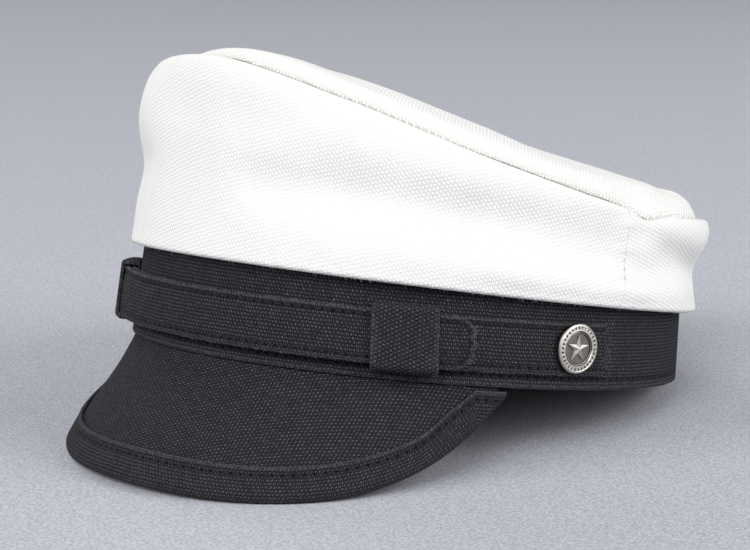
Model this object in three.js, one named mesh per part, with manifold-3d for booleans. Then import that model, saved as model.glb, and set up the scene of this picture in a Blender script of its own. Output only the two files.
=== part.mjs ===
// A sailor cap in cloth: a white canvas crown over a black canvas band, with a stiff black peak,
// a two-part front strap in two cloth keepers, and a star button at each end of the strap.
// Millimetres. The peak points to -Y, the wearer's left is +X, and the cap rests on the plane Z = 0.
import * as THREE from "three";
import { mergeVertices } from "three/addons/utils/BufferGeometryUtils.js";
import Module from "manifold-3d";

const wasm = await Module();
wasm.setup();

// The cap's own frame, before it is laid down: the band's lower edge is an ellipse on Z = 0.
// Angles go round from the front, in degrees, and are positive towards the wearer's left.
// An outset is a distance out from that ellipse, square to it.
const STEPS_ROUND = 60;
const CLEARANCE = 0.3;

// Head band
const BAND_HALF_LENGTH = 100.5;
const BAND_HALF_WIDTH = 88.9;
const BAND_WALL = 2.2;
const BAND_DRAW_IN = 0.045;
const BAND_ABOVE_EDGE = 4;
const BAND_EDGE_ROUND = 0.7;
const SIDE_SEAM_ANGLE = 88;
const SIDE_SEAM_GAP_DEGREES = 0.1;

// How the cap lies: on the band's lower edge at the back and on the peak at the front
const LIE_TILT = 10.75;
const PRESSED_FLAT = 0.5;

// Crown
const CROWN_WALL = 1.8;
const CROWN_EDGE_HEIGHT = 26.5;
const CROWN_EDGE_SLOPE = -0.0379;
const CROWN_EDGE_ROUND = 1.3;
const SHOULDER_OUT = 1.2;
const PROFILE_STEPS = 2;
const TOP_RINGS = 8;
const TOP_RING_CROWDING = 1.7;
const PUFF_WIDTH = 0.1;
const TOP_BLEND = 1.5;
const TOP_SWELL = 1.5;
const HEIGHT_OF = { low: 0.2, waist: 0.47, bulge: 0.78, shoulder: 0.95 };

// Crown sections, one every 30 degrees. edge to seam are outsets of the cloth at the turned lower
// edge, above it, at the waist, at the upper bulge and at the top seam. height is the top seam's
// above the lower edge, roll is the shoulder's above that, and puff is how far the top panel rises
// just inside the seam.
const SECTIONS = [
  { angle: -150, edge: 3.8, low: 3.6, waist: 2.6, bulge: 5.0, seam: 1.5, height: 33.0, roll: 1.5, puff: 6.0 },
  { angle: -120, edge: 3.8, low: 3.6, waist: 2.4, bulge: 5.0, seam: 1.0, height: 32.5, roll: 1.5, puff: 6.0 },
  { angle: -90, edge: 3.6, low: 3.8, waist: 2.4, bulge: 4.5, seam: -0.5, height: 33.5, roll: 1.5, puff: 5.5 },
  { angle: -60, edge: 3.3, low: 3.6, waist: 2.4, bulge: 4.5, seam: -2.0, height: 43.0, roll: 1.5, puff: 4.6 },
  { angle: -30, edge: 3.0, low: 2.6, waist: 2.4, bulge: 4.6, seam: -4.5, height: 57.5, roll: 4.0, puff: 4.5 },
  { angle: 0, edge: 3.2, low: 2.8, waist: 2.4, bulge: 4.0, seam: -5.0, height: 62.0, roll: 2.5, puff: 4.5 },
  { angle: 30, edge: 3.3, low: 3.4, waist: 2.4, bulge: 3.6, seam: -3.0, height: 53.4, roll: 1.2, puff: 4.2 },
  { angle: 60, edge: 3.4, low: 4.2, waist: 2.2, bulge: 3.6, seam: -1.5, height: 40.4, roll: 1.0, puff: 4.6 },
  { angle: 90, edge: 3.6, low: 4.2, waist: 2.2, bulge: 3.6, seam: -0.5, height: 31.8, roll: 1.0, puff: 6.5 },
  { angle: 120, edge: 4.0, low: 3.4, waist: 2.2, bulge: 5.6, seam: 1.0, height: 32.0, roll: 0.6, puff: 8.0 },
  { angle: 150, edge: 4.1, low: 3.6, waist: 2.4, bulge: 5.4, seam: 1.5, height: 33.0, roll: 1.0, puff: 8.0 },
  { angle: 180, edge: 4.0, low: 3.6, waist: 2.6, bulge: 5.0, seam: 1.5, height: 33.0, roll: 1.5, puff: 7.0 },
];

// Soft valleys in the crown's sides, each from one angle and height above the lower edge to another
const VALLEYS = [
  { fromAngle: 14, fromHeight: 25, toAngle: 84, toHeight: 24, halfWidth: 8, depth: 1.6 },
  { fromAngle: -14, fromHeight: 48, toAngle: 16, toHeight: 45, halfWidth: 8, depth: 1.4 },
  { fromAngle: 92, fromHeight: 24, toAngle: 124, toHeight: 13, halfWidth: 5, depth: 1.3 },
  { fromAngle: -82, fromHeight: 23, toAngle: -24, toHeight: 27, halfWidth: 8, depth: 1.2 },
  { fromAngle: -134, fromHeight: 14, toAngle: -96, toHeight: 22, halfWidth: 6, depth: 1.2 },
];

// Peak and the strip bound over its edge. The peak leaves the band's lower edge, its middle plane
// slopes down all round, and its length falls from the middle to the ends of its root.
const PEAK_LENGTH = 45.6;
const PEAK_ROOT_ANGLE = 67.7;
const PEAK_OUTLINE = 3.05;
const PEAK_END_ROUND = 1.04;
const PEAK_SLOPE = 60.4;
const PEAK_SLOPE_GAIN = 20.5;
const PEAK_ROOT_OUTSET = -0.65;
const PEAK_HALF_WALL = 1.2;
const PEAK_STEPS = 36;
const FLANGE_HEIGHT = 9;
const FLANGE_WALL = 1.5;
const BINDING_WALL = 0.9;
const BINDING_WIDTH = 12.5;
const BINDING_ENDS_AT = 0.966;
const BINDING_ROOT_GAP = 0.8;
const SHORTEST_LEG = 0.3;

// Front strap, keepers and buttons
const STRAP_MIDDLE = 13.1;
const STRAP_WIDTH = 16.5;
const STRAP_WALL = 1.8;
const STRAP_EDGE_ROUND = 0.5;
const STRAP_END_ANGLE = 86.6;
const STRAP_TIP_ANGLE = 58.3;
const STRAP_TIP_ROUND = 6.5;
const STRAP_TIP_RUN_DEGREES = 3.9;
const STRAP_TIP_SHARES = [0.45, 0.8, 1];
const STRAP_STEP_DEGREES = 4;
const CROSSING_START = 60;
const CROSSING_END = 66;
const KEEPER_FROM_ANGLE = 39.4;
const KEEPER_TO_ANGLE = 51.2;
const KEEPER_LIFT = 1.1;
const KEEPER_LIFT_RUN = 6;
const KEEPER_BACK_WALL = 0.8;
const KEEPER_FRONT_WALL = 1.4;
const KEEPER_OVERHANG = 1.7;
const KEEPER_CORNER = 1.2;
const KEEPER_INNER_CORNER = 0.3;
const KEEPER_STEPS_ALONG = 4;
const BUTTON_ANGLE = 78.9;
const BUTTON_HEIGHT = 13.6;
const BUTTON_FIELD_HEIGHT = 1.2;
const BUTTON_STEPS = 20;
const SHANK_RADIUS = 2;
const SHANK_HOLE_RADIUS = 2.3;
const SHANK_STEPS = 12;
const SHANK_HEAD_RADIUS = 4.5;
const SHANK_HEAD_THICKNESS = 0.8;
const DRILL_LENGTH = 30;
const STAR_OUTER_RADIUS = 4.4;
const STAR_INNER_RADIUS = 1.75;
const STAR_POINTS = 5;
const STAR_HEIGHT = 1;
const STAR_FOOT = 0.4;

// The button's face as [radius, height] pairs, from its back edge over the rim to the sunk field
const BUTTON_FACE = [
  [7.4, 0],
  [8, 0.7],
  [7.5, 1.5],
  [6.4, 1.9],
  [5.4, 1.9],
  [5, BUTTON_FIELD_HEIGHT],
];

const WHITE_CANVAS = new THREE.MeshStandardMaterial({ color: 0xf0f0ee, roughness: 0.9, metalness: 0 });
const BLACK_CANVAS = new THREE.MeshStandardMaterial({ color: 0x26272b, roughness: 0.92, metalness: 0 });
const OLD_SILVER = new THREE.MeshStandardMaterial({ color: 0x9c9a96, roughness: 0.42, metalness: 1 });

const MM_PER_DEGREE = (Math.PI * (BAND_HALF_LENGTH + BAND_HALF_WIDTH)) / 360;
const SAME_POINT = 1e-4;

const radians = THREE.MathUtils.degToRad;
const clamp = THREE.MathUtils.clamp;
const smoothstep = THREE.MathUtils.smoothstep;

// Evenly spaced values from one number to another, both ends included
function spread(from, to, steps) {
  return Array.from({ length: steps + 1 }, (_, i) => from + ((to - from) * i) / steps);
}

// Catmull-Rom value at t, from 0 to 1, between b and c
function between(a, b, c, d, t) {
  return b + 0.5 * t * (c - a + t * (2 * a - 5 * b + 4 * c - d + t * (3 * (b - c) + d - a)));
}

// Smooth curve through [outset, height] pairs, with a few points for each span
function smoothProfile(points, steps) {
  const last = points.length - 1;
  const mirrored = (end, next) => [2 * end[0] - next[0], 2 * end[1] - next[1]];
  const p = [mirrored(points[0], points[1]), ...points, mirrored(points[last], points[last - 1])];
  const out = [];
  for (let span = 0; span < last; span++) {
    for (let k = 0; k < steps; k++) {
      out.push([0, 1].map((axis) =>
        between(p[span][axis], p[span + 1][axis], p[span + 2][axis], p[span + 3][axis], k / steps)));
    }
  }
  out.push(points[last]);
  return out;
}

// Outward direction in plan at an angle from the front
function outward(angle) {
  const a = radians(angle - 90);
  return new THREE.Vector2(Math.cos(a) / BAND_HALF_WIDTH, Math.sin(a) / BAND_HALF_LENGTH).normalize();
}

// A point of the cap's frame from its angle, its outset and its height
function place(angle, outset, height) {
  const a = radians(angle - 90);
  const n = outward(angle);
  return new THREE.Vector3(
    BAND_HALF_WIDTH * Math.cos(a) + outset * n.x,
    BAND_HALF_LENGTH * Math.sin(a) + outset * n.y,
    height,
  );
}

// A value of the section table at any angle
function section(name, angle) {
  const spacing = 360 / SECTIONS.length;
  const p = (((angle - SECTIONS[0].angle) % 360) + 360) % 360 / spacing;
  const i = Math.floor(p);
  const at = (k) => SECTIONS[(k + SECTIONS.length) % SECTIONS.length][name];
  return between(at(i - 1), at(i), at(i + 1), at(i + 2), p - i);
}

// Angle folded into the range from -180 to 180
function folded(angle) {
  return ((((angle + 180) % 360) + 360) % 360) - 180;
}

// How deep the valleys lie at a place on the crown's side
function valleyDepth(angle, height) {
  const a = folded(angle);
  let depth = 0;
  for (const v of VALLEYS) {
    const run = [(v.toAngle - v.fromAngle) * MM_PER_DEGREE, v.toHeight - v.fromHeight];
    const off = [(a - v.fromAngle) * MM_PER_DEGREE, height - v.fromHeight];
    const share = clamp((run[0] * off[0] + run[1] * off[1]) / (run[0] ** 2 + run[1] ** 2), 0, 1);
    const distance = Math.hypot(off[0] - share * run[0], off[1] - share * run[1]);
    depth += v.depth * Math.exp(-((distance / v.halfWidth) ** 2));
  }
  return depth;
}

function crownEdgeHeight(angle) {
  return CROWN_EDGE_HEIGHT + CROWN_EDGE_SLOPE * BAND_HALF_LENGTH * Math.sin(radians(angle - 90));
}

function bandOutset(height) {
  return -BAND_DRAW_IN * height;
}

// Inner line of a profile: each point moved square to the line, to the cap's inside
function insideLine(profile, wall) {
  return profile.map(([x, z], i) => {
    const before = profile[Math.max(i - 1, 0)];
    const after = profile[Math.min(i + 1, profile.length - 1)];
    const run = [after[0] - before[0], after[1] - before[1]];
    const length = Math.hypot(...run);
    return [x - (wall * run[1]) / length, z + (wall * run[0]) / length];
  });
}

// Crown side, from the edge turned in against the band, up to the top seam
function crownSideProfile(angle) {
  const at = (name) => section(name, angle);
  const edgeHeight = crownEdgeHeight(angle);
  const height = at("height");
  const pressed = (outset, share) => outset - valleyDepth(angle, share * height);
  const shoulder = (at("bulge") + at("seam")) / 2 + SHOULDER_OUT;
  const wall = smoothProfile(
    [
      [at("edge"), edgeHeight + CROWN_EDGE_ROUND],
      [pressed(at("low"), HEIGHT_OF.low), edgeHeight + HEIGHT_OF.low * height],
      [pressed(at("waist"), HEIGHT_OF.waist), edgeHeight + HEIGHT_OF.waist * height],
      [pressed(at("bulge"), HEIGHT_OF.bulge), edgeHeight + HEIGHT_OF.bulge * height],
      [shoulder, edgeHeight + HEIGHT_OF.shoulder * height + at("roll")],
      [at("seam") + CLEARANCE / 2, edgeHeight + height],
    ],
    PROFILE_STEPS,
  );
  const turnedIn = [
    [bandOutset(edgeHeight) + CLEARANCE, edgeHeight + CROWN_EDGE_ROUND],
    [at("edge") - CROWN_EDGE_ROUND, edgeHeight],
  ];
  return [...turnedIn, ...wall];
}

// True for a triangle with two corners in one place
function isSliver(corners) {
  return corners.some((c, i) => c.distanceTo(corners[(i + 1) % 3]) < SAME_POINT);
}

// Closed solid between an outer and an inner grid of points, rows along and columns across
function thickSheet(outer, inner, closed = false) {
  const rows = outer.length;
  const last = outer[0].length - 1;
  const position = [];
  const triangle = (a, b, c) => {
    if (!isSliver([a, b, c])) position.push(...a, ...b, ...c);
  };
  const quad = (a, b, c, d) => {
    triangle(a, b, c);
    triangle(a, c, d);
  };
  for (let j = 0; j < (closed ? rows : rows - 1); j++) {
    const k = (j + 1) % rows;
    for (let i = 0; i < last; i++) {
      quad(outer[j][i], outer[k][i], outer[k][i + 1], outer[j][i + 1]);
      quad(inner[j][i + 1], inner[k][i + 1], inner[k][i], inner[j][i]);
    }
    quad(inner[j][0], inner[k][0], outer[k][0], outer[j][0]);
    quad(outer[j][last], outer[k][last], inner[k][last], inner[j][last]);
  }
  if (!closed) {
    for (let i = 0; i < last; i++) {
      quad(inner[0][i], outer[0][i], outer[0][i + 1], inner[0][i + 1]);
      quad(inner[rows - 1][i + 1], outer[rows - 1][i + 1], outer[rows - 1][i], inner[rows - 1][i]);
    }
  }
  return facingOut(position);
}

// Geometry of loose triangles with its faces turned out, whichever way they were listed
function facingOut(position) {
  let volume = 0;
  const [a, b, c] = [new THREE.Vector3(), new THREE.Vector3(), new THREE.Vector3()];
  for (let i = 0; i < position.length; i += 9) {
    a.fromArray(position, i);
    b.fromArray(position, i + 3);
    c.fromArray(position, i + 6);
    volume += a.dot(b.cross(c));
    if (!Number.isFinite(volume)) throw new Error("a point is not a number");
  }
  if (volume < 0) {
    for (let i = 0; i < position.length; i += 9) {
      for (let k = 0; k < 3; k++) {
        [position[i + 3 + k], position[i + 6 + k]] = [position[i + 6 + k], position[i + 3 + k]];
      }
    }
  }
  const geometry = new THREE.BufferGeometry();
  return geometry.setAttribute("position", new THREE.Float32BufferAttribute(position, 3));
}

// Sheet whose rows are profiles of [outset, height] pairs at a list of angles
function profiledSheet(angles, outerProfile, innerProfile, closed = false) {
  const grid = (profile) => angles.map((angle) => profile(angle).map(([x, z]) => place(angle, x, z)));
  return thickSheet(grid(outerProfile), grid(innerProfile), closed);
}

// Moves whatever the cap's weight presses into the table back up to the table's level
function pressFlat(geometry) {
  const tilt = radians(LIE_TILT);
  const up = new THREE.Vector3(0, -Math.sin(tilt), Math.cos(tilt));
  const table = -BAND_HALF_LENGTH * Math.sin(tilt) + PRESSED_FLAT;
  const p = geometry.getAttribute("position");
  const v = new THREE.Vector3();
  for (let i = 0; i < p.count; i++) {
    v.fromBufferAttribute(p, i);
    const below = table - v.dot(up);
    if (below > 0) {
      v.addScaledVector(up, below);
      p.setXYZ(i, v.x, v.y, v.z);
    }
  }
  return geometry;
}

function solidOf(geometry) {
  const loose = geometry.clone();
  loose.deleteAttribute("normal");
  loose.deleteAttribute("uv");
  const merged = mergeVertices(loose, SAME_POINT);
  return new wasm.Manifold(
    new wasm.Mesh({
      numProp: 3,
      vertProperties: merged.attributes.position.array,
      triVerts: new Uint32Array(merged.index.array),
    }),
  );
}

function geometryOf(solid) {
  const mesh = solid.getMesh();
  const geometry = new THREE.BufferGeometry();
  geometry.setAttribute("position", new THREE.BufferAttribute(mesh.vertProperties, 3));
  return geometry.setIndex(new THREE.BufferAttribute(mesh.triVerts, 1));
}

// Crown
function crownSideInside(angle) {
  const profile = crownSideProfile(angle);
  const inside = insideLine(profile, CROWN_WALL);
  const seam = profile[profile.length - 1];
  inside[inside.length - 1] = [seam[0], seam[1] - CROWN_WALL];
  return inside;
}

function crownSidePanel(fromAngle, toAngle, steps) {
  return profiledSheet(spread(fromAngle, toAngle, steps), crownSideProfile, crownSideInside);
}

// Top panel: rings shrink from the seam to the middle. Each rises by its puff just inside the seam
// and blends into a ridge that runs straight from the front to the back.
function crownTopPanel() {
  const angles = spread(0, 360, STEPS_ROUND).slice(0, -1);
  const seam = angles.map((angle) =>
    place(angle, section("seam", angle) - CLEARANCE / 2, crownEdgeHeight(angle) + section("height", angle)));
  const front = seam[0];
  const back = seam[STEPS_ROUND / 2];
  const middle = (front.y + back.y) / 2;
  const halfLength = (back.y - front.y) / 2;
  const frontRidge = front.z + section("puff", 0);
  const backRidge = back.z + section("puff", 180);
  const shares = spread(0, 1, TOP_RINGS).map((s) => s ** TOP_RING_CROWDING);
  const outer = [];
  const inner = [];
  seam.forEach((rim, j) => {
    const reach = new THREE.Vector2(rim.x, rim.y - middle);
    const profile = shares.map((share) => {
      const y = (rim.y - middle) * (1 - share);
      const along = y / halfLength;
      const ridge =
        frontRidge + ((backRidge - frontRidge) * (along + 1)) / 2 + TOP_SWELL * (1 - along ** 2);
      const puff = section("puff", angles[j]) * (1 - (1 - Math.min(share / PUFF_WIDTH, 1)) ** 2);
      const blend = 1 - (1 - share) ** TOP_BLEND;
      return [reach.length() * (1 - share), (rim.z + puff) * (1 - blend) + ridge * blend];
    });
    const inside = insideLine(profile, CROWN_WALL);
    inside[0] = [profile[0][0], profile[0][1] - CROWN_WALL];
    inside[TOP_RINGS] = [0, profile[TOP_RINGS][1] - CROWN_WALL];
    const direction = reach.clone().normalize();
    const point = ([r, z]) => new THREE.Vector3(direction.x * r, middle + direction.y * r, z);
    outer.push(profile.map(point));
    inner.push(inside.map(point));
  });
  return thickSheet(outer, inner, true);
}

// Head band
function bandProfile(angle) {
  const top = crownEdgeHeight(angle) + BAND_ABOVE_EDGE;
  return [
    [bandOutset(0) - BAND_EDGE_ROUND, 0],
    [bandOutset(0), BAND_EDGE_ROUND],
    [bandOutset(STRAP_MIDDLE), STRAP_MIDDLE],
    [bandOutset(top), top],
  ];
}

function bandInside(angle) {
  return bandProfile(angle).map(([, z], i) => {
    const rounded = i === 0 ? BAND_EDGE_ROUND : 0;
    return [bandOutset(z) - BAND_WALL + rounded, z];
  });
}

function bandLength(fromAngle, toAngle, steps) {
  return pressFlat(profiledSheet(spread(fromAngle, toAngle, steps), bandProfile, bandInside));
}

// Peak
const PEAK_END_ANGLE = PEAK_ROOT_ANGLE * BINDING_ENDS_AT;
const PEAK_ANGLES = spread(-PEAK_END_ANGLE, PEAK_END_ANGLE, PEAK_STEPS);

function peakShare(angle) {
  return angle / PEAK_ROOT_ANGLE;
}

function peakReach(angle) {
  return PEAK_LENGTH * (1 - Math.abs(peakShare(angle)) ** PEAK_OUTLINE) ** PEAK_END_ROUND;
}

// A point beside the peak's middle plane, by its distance from the root and its height off the plane
function besidePeak(angle, along, off) {
  const slope = radians(PEAK_SLOPE + PEAK_SLOPE_GAIN * peakShare(angle) ** 2);
  return [
    PEAK_ROOT_OUTSET + along * Math.cos(slope) + off * Math.sin(slope),
    -CLEARANCE - along * Math.sin(slope) + off * Math.cos(slope),
  ];
}

// Peak board: a flange stands up inside the band, and the board runs down from the band's edge
const PEAK_SPANS = [0.12, 0.3, 0.5, 0.7, 0.86, 1];

function peakEnd(angle) {
  return peakReach(angle) - BINDING_WALL - CLEARANCE - PEAK_HALF_WALL;
}

function peakTop(angle) {
  const insideBand = -BAND_WALL - CLEARANCE;
  return [
    [insideBand + bandOutset(FLANGE_HEIGHT), FLANGE_HEIGHT],
    [insideBand, -CLEARANCE],
    [0, -CLEARANCE],
    ...PEAK_SPANS.map((share) => besidePeak(angle, share * peakEnd(angle), PEAK_HALF_WALL)),
  ];
}

function peakUnder(angle) {
  const insideFlange = -BAND_WALL - CLEARANCE - FLANGE_WALL;
  return [
    [insideFlange + bandOutset(FLANGE_HEIGHT), FLANGE_HEIGHT],
    [insideFlange, -CLEARANCE],
    [insideFlange + FLANGE_WALL / 2, -CLEARANCE - PEAK_HALF_WALL],
    ...PEAK_SPANS.map((share) => besidePeak(angle, share * peakEnd(angle), -PEAK_HALF_WALL)),
  ];
}

function peak() {
  return profiledSheet(PEAK_ANGLES.slice(1, -1), peakTop, peakUnder);
}

// Binding: a strip folded round the peak's edge, with a leg above and a leg below
function bindingLine(angle, halfThickness, edge) {
  const reach = peakReach(angle);
  const bend = reach - edge - halfThickness;
  const root = Math.min(Math.max(reach - BINDING_WIDTH, BINDING_ROOT_GAP), bend - SHORTEST_LEG);
  const legs = [root, (root + bend) / 2, bend];
  const turn = [45, 0, -45].map((degrees) => [
    bend + halfThickness * Math.cos(radians(degrees)),
    halfThickness * Math.sin(radians(degrees)),
  ]);
  return [
    ...legs.map((along) => [along, halfThickness]),
    ...turn,
    ...legs.reverse().map((along) => [along, -halfThickness]),
  ].map(([along, off]) => besidePeak(angle, along, off));
}

function peakBinding() {
  const inner = PEAK_HALF_WALL + CLEARANCE;
  return pressFlat(
    profiledSheet(
      PEAK_ANGLES,
      (angle) => bindingLine(angle, inner + BINDING_WALL, 0),
      (angle) => bindingLine(angle, inner, BINDING_WALL),
    ),
  );
}

// How far the straps stand off to make room for the back of a keeper
function keeperLift(angle) {
  const a = Math.abs(angle);
  const rise = smoothstep(a, KEEPER_FROM_ANGLE - KEEPER_LIFT_RUN, KEEPER_FROM_ANGLE - 1);
  const fall = 1 - smoothstep(a, KEEPER_TO_ANGLE + 1, KEEPER_TO_ANGLE + KEEPER_LIFT_RUN);
  return KEEPER_LIFT * rise * fall;
}

// Back face of the strap that lies on the band
function lowerStrapBack(angle, height) {
  return bandOutset(height) + CLEARANCE + keeperLift(angle);
}

// Back face of the strap that lies on the other strap, and comes down to the band past its tip
function upperStrapBack(angle, height) {
  const onBand = smoothstep(-angle, CROSSING_START, CROSSING_END);
  return lowerStrapBack(angle, height) + (STRAP_WALL + CLEARANCE) * (1 - onBand);
}

// Half width of a strap: full along its length, and rounded off towards its tip
function strapHalfWidth(angle, tipAngle) {
  const toTip = Math.abs(tipAngle - angle) * MM_PER_DEGREE;
  const corner = clamp(STRAP_TIP_ROUND - toTip, 0, STRAP_TIP_ROUND);
  return STRAP_WIDTH / 2 - STRAP_TIP_ROUND + Math.sqrt(STRAP_TIP_ROUND ** 2 - corner ** 2);
}

// Strap from its end under a button to its rounded tip
function strap(endAngle, tipAngle, back) {
  const steps = Math.round(Math.abs(tipAngle - endAngle) / STRAP_STEP_DEGREES);
  const tipRun = Math.sign(tipAngle - endAngle) * STRAP_TIP_RUN_DEGREES;
  const angles = [
    ...spread(endAngle, tipAngle - tipRun, steps),
    ...STRAP_TIP_SHARES.map((share) => tipAngle - tipRun * (1 - share)),
  ];
  const across = (angle) => {
    const half = strapHalfWidth(angle, tipAngle);
    const flat = half - STRAP_EDGE_ROUND;
    return [-half, -flat, 0, flat, half].map((offset) => STRAP_MIDDLE + offset);
  };
  const face = (off) => (angle) =>
    across(angle).map((height, i, all) => {
      const rounded = i === 0 || i === all.length - 1 ? STRAP_EDGE_ROUND : 0;
      const depth = off === 0 ? rounded : off - rounded;
      return [back(angle, height) + depth, height];
    });
  return profiledSheet(angles, face(STRAP_WALL), face(0));
}

// Closed rectangle of [outset, height] pairs with its corners cut off
function corneredBox(back, front, bottom, top, corner) {
  return [
    [back, bottom + corner],
    [back + corner, bottom],
    [front - corner, bottom],
    [front, bottom + corner],
    [front, top - corner],
    [front - corner, top],
    [back + corner, top],
    [back, top - corner],
  ];
}

// Keeper: a closed loop of cloth round both straps
function keeper(side) {
  const bottom = STRAP_MIDDLE - STRAP_WIDTH / 2;
  const top = STRAP_MIDDLE + STRAP_WIDTH / 2;
  const back = bandOutset(STRAP_MIDDLE) + CLEARANCE;
  const backInner = back + KEEPER_BACK_WALL;
  const frontInner = back + KEEPER_LIFT + 2 * STRAP_WALL + 2 * CLEARANCE;
  const front = frontInner + KEEPER_FRONT_WALL;
  const overhang = KEEPER_OVERHANG + CLEARANCE;
  const outer = corneredBox(back, front, bottom - overhang, top + overhang, KEEPER_CORNER);
  const inner = corneredBox(
    backInner, frontInner, bottom - CLEARANCE, top + CLEARANCE, KEEPER_INNER_CORNER);
  const angles = spread(side * KEEPER_FROM_ANGLE, side * KEEPER_TO_ANGLE, KEEPER_STEPS_ALONG);
  const lean = (z) => bandOutset(z - STRAP_MIDDLE);
  const loop = (line) => line.map(([x, z]) => angles.map((angle) => place(angle, x + lean(z), z)));
  return thickSheet(loop(outer), loop(inner), true);
}

// Raised star with a ridge along each ray, standing on a round field
function starSolid(base) {
  const points = STAR_POINTS * 2;
  const rim = (k, z) => {
    const radius = k % 2 === 0 ? STAR_OUTER_RADIUS : STAR_INNER_RADIUS;
    const a = Math.PI / 2 + (k * Math.PI) / STAR_POINTS;
    return new THREE.Vector3(radius * Math.cos(a), radius * Math.sin(a), z);
  };
  const foot = base - STAR_FOOT;
  const highest = new THREE.Vector3(0, 0, base + STAR_HEIGHT);
  const lowest = new THREE.Vector3(0, 0, foot);
  const position = [];
  for (let k = 0; k < points; k++) {
    const next = (k + 1) % points;
    position.push(...highest, ...rim(k, base), ...rim(next, base));
    position.push(...lowest, ...rim(next, foot), ...rim(k, foot));
    position.push(...rim(k, foot), ...rim(next, foot), ...rim(next, base));
    position.push(...rim(k, foot), ...rim(next, base), ...rim(k, base));
  }
  return solidOf(facingOut(position));
}

// Button along +Z from the strap's face: a domed rim round a sunk field, a star, and behind it the
// shank, which goes through strap and band and is headed over inside the band
function buttonGeometry() {
  const shankLength = STRAP_WALL + BAND_WALL + 4 * CLEARANCE;
  const profile = [
    [0, -shankLength - SHANK_HEAD_THICKNESS],
    [SHANK_HEAD_RADIUS, -shankLength - SHANK_HEAD_THICKNESS],
    [SHANK_HEAD_RADIUS, -shankLength],
    [SHANK_RADIUS, -shankLength],
    [SHANK_RADIUS, 0],
    ...BUTTON_FACE,
    [0, BUTTON_FIELD_HEIGHT],
  ].map(([r, z]) => new THREE.Vector2(r, z));
  const turned = new THREE.LatheGeometry(profile, BUTTON_STEPS);
  turned.rotateX(Math.PI / 2);
  return geometryOf(solidOf(facingOut(looseTriangles(turned))).add(starSolid(BUTTON_FIELD_HEIGHT)));
}

// Corner coordinates of a geometry's triangles, without the ones that are slivers
function looseTriangles(geometry) {
  const p = geometry.toNonIndexed().getAttribute("position");
  const position = [];
  for (let i = 0; i < p.count; i += 3) {
    const corners = [0, 1, 2].map((k) => new THREE.Vector3().fromBufferAttribute(p, i + k));
    if (!isSliver(corners)) position.push(...corners.flatMap((c) => [...c]));
  }
  return position;
}

// Turns a thing built along +Z so that it points out of the cap at a button's place
function buttonMatrix(side) {
  const n = outward(side * BUTTON_ANGLE);
  const outwards = new THREE.Vector3(n.x, n.y, 0);
  const upwards = new THREE.Vector3(0, 0, 1);
  const along = new THREE.Vector3().crossVectors(upwards, outwards);
  const back = bandOutset(STRAP_MIDDLE) + 2 * CLEARANCE + STRAP_WALL;
  const matrix = new THREE.Matrix4().makeBasis(along, upwards, outwards);
  return matrix.setPosition(place(side * BUTTON_ANGLE, back, BUTTON_HEIGHT));
}

// Cloth with the round hole that a button's shank passes through
function withShankHole(geometry, sides) {
  let solid = solidOf(geometry);
  for (const side of sides) {
    const drill = new THREE.CylinderGeometry(
      SHANK_HOLE_RADIUS, SHANK_HOLE_RADIUS, DRILL_LENGTH, SHANK_STEPS);
    drill.rotateX(Math.PI / 2).applyMatrix4(buttonMatrix(side));
    solid = solid.subtract(solidOf(drill.toNonIndexed()));
  }
  return geometryOf(solid);
}

function mesh(name, geometry, material) {
  const made = new THREE.Mesh(geometry, material);
  made.name = name;
  return made;
}

function buildCap() {
  const front = SIDE_SEAM_ANGLE - SIDE_SEAM_GAP_DEGREES;
  const backFrom = SIDE_SEAM_ANGLE + SIDE_SEAM_GAP_DEGREES;
  const frontSteps = STEPS_ROUND / 2;
  const cap = new THREE.Group();
  cap.add(
    mesh("crown_front_panel", crownSidePanel(-front, front, frontSteps), WHITE_CANVAS),
    mesh("crown_back_panel", crownSidePanel(backFrom, 360 - backFrom, frontSteps), WHITE_CANVAS),
    mesh("crown_top_panel", crownTopPanel(), WHITE_CANVAS),
    mesh("band_front", withShankHole(bandLength(-front, front, frontSteps), [1, -1]), BLACK_CANVAS),
    mesh("band_back", bandLength(backFrom, 360 - backFrom, frontSteps), BLACK_CANVAS),
    mesh("peak", peak(), BLACK_CANVAS),
    mesh("peak_binding", peakBinding(), BLACK_CANVAS),
    mesh(
      "strap_lower",
      withShankHole(strap(STRAP_END_ANGLE, -STRAP_TIP_ANGLE, lowerStrapBack), [1]),
      BLACK_CANVAS,
    ),
    mesh(
      "strap_upper",
      withShankHole(strap(-STRAP_END_ANGLE, STRAP_TIP_ANGLE, upperStrapBack), [-1]),
      BLACK_CANVAS,
    ),
  );
  for (const [name, side] of [["left", 1], ["right", -1]]) {
    cap.add(mesh(`keeper_${name}`, keeper(side), BLACK_CANVAS));
    const button = mesh(`button_${name}`, buttonGeometry(), OLD_SILVER);
    button.applyMatrix4(buttonMatrix(side));
    cap.add(button);
  }
  return cap;
}

// The cap laid on the table, with the origin under the middle of its outer box
function layOnTable(cap) {
  const part = new THREE.Group();
  cap.rotation.x = -radians(LIE_TILT);
  part.add(cap);
  part.updateMatrixWorld(true);
  const box = new THREE.Box3().setFromObject(part, true);
  const middle = box.getCenter(new THREE.Vector3());
  cap.position.set(-middle.x, -middle.y, -box.min.z);
  return part;
}

export default layOnTable(buildCap());
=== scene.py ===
"""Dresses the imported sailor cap: white canvas crown, black canvas band, peak, straps and keepers,
metal buttons, stitching and lint, on a plain pale floor.

Shapes are worked out in millimetres in the cap's own frame, as it was sewn: the band's lower edge is
an ellipse on height 0, angles go round from the front in degrees and are positive towards the wearer's
left, and an outset is a distance out from that ellipse, square to it. lay() then turns the cap to the
way it lies on its peak and the back of its band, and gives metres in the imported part's frame.
"""

import math

import bmesh
import bpy
import numpy as np
from bpy.props import FloatProperty, FloatVectorProperty, PointerProperty
from bpy.types import Operator, Panel, PropertyGroup
from mathutils import Matrix, Vector


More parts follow.
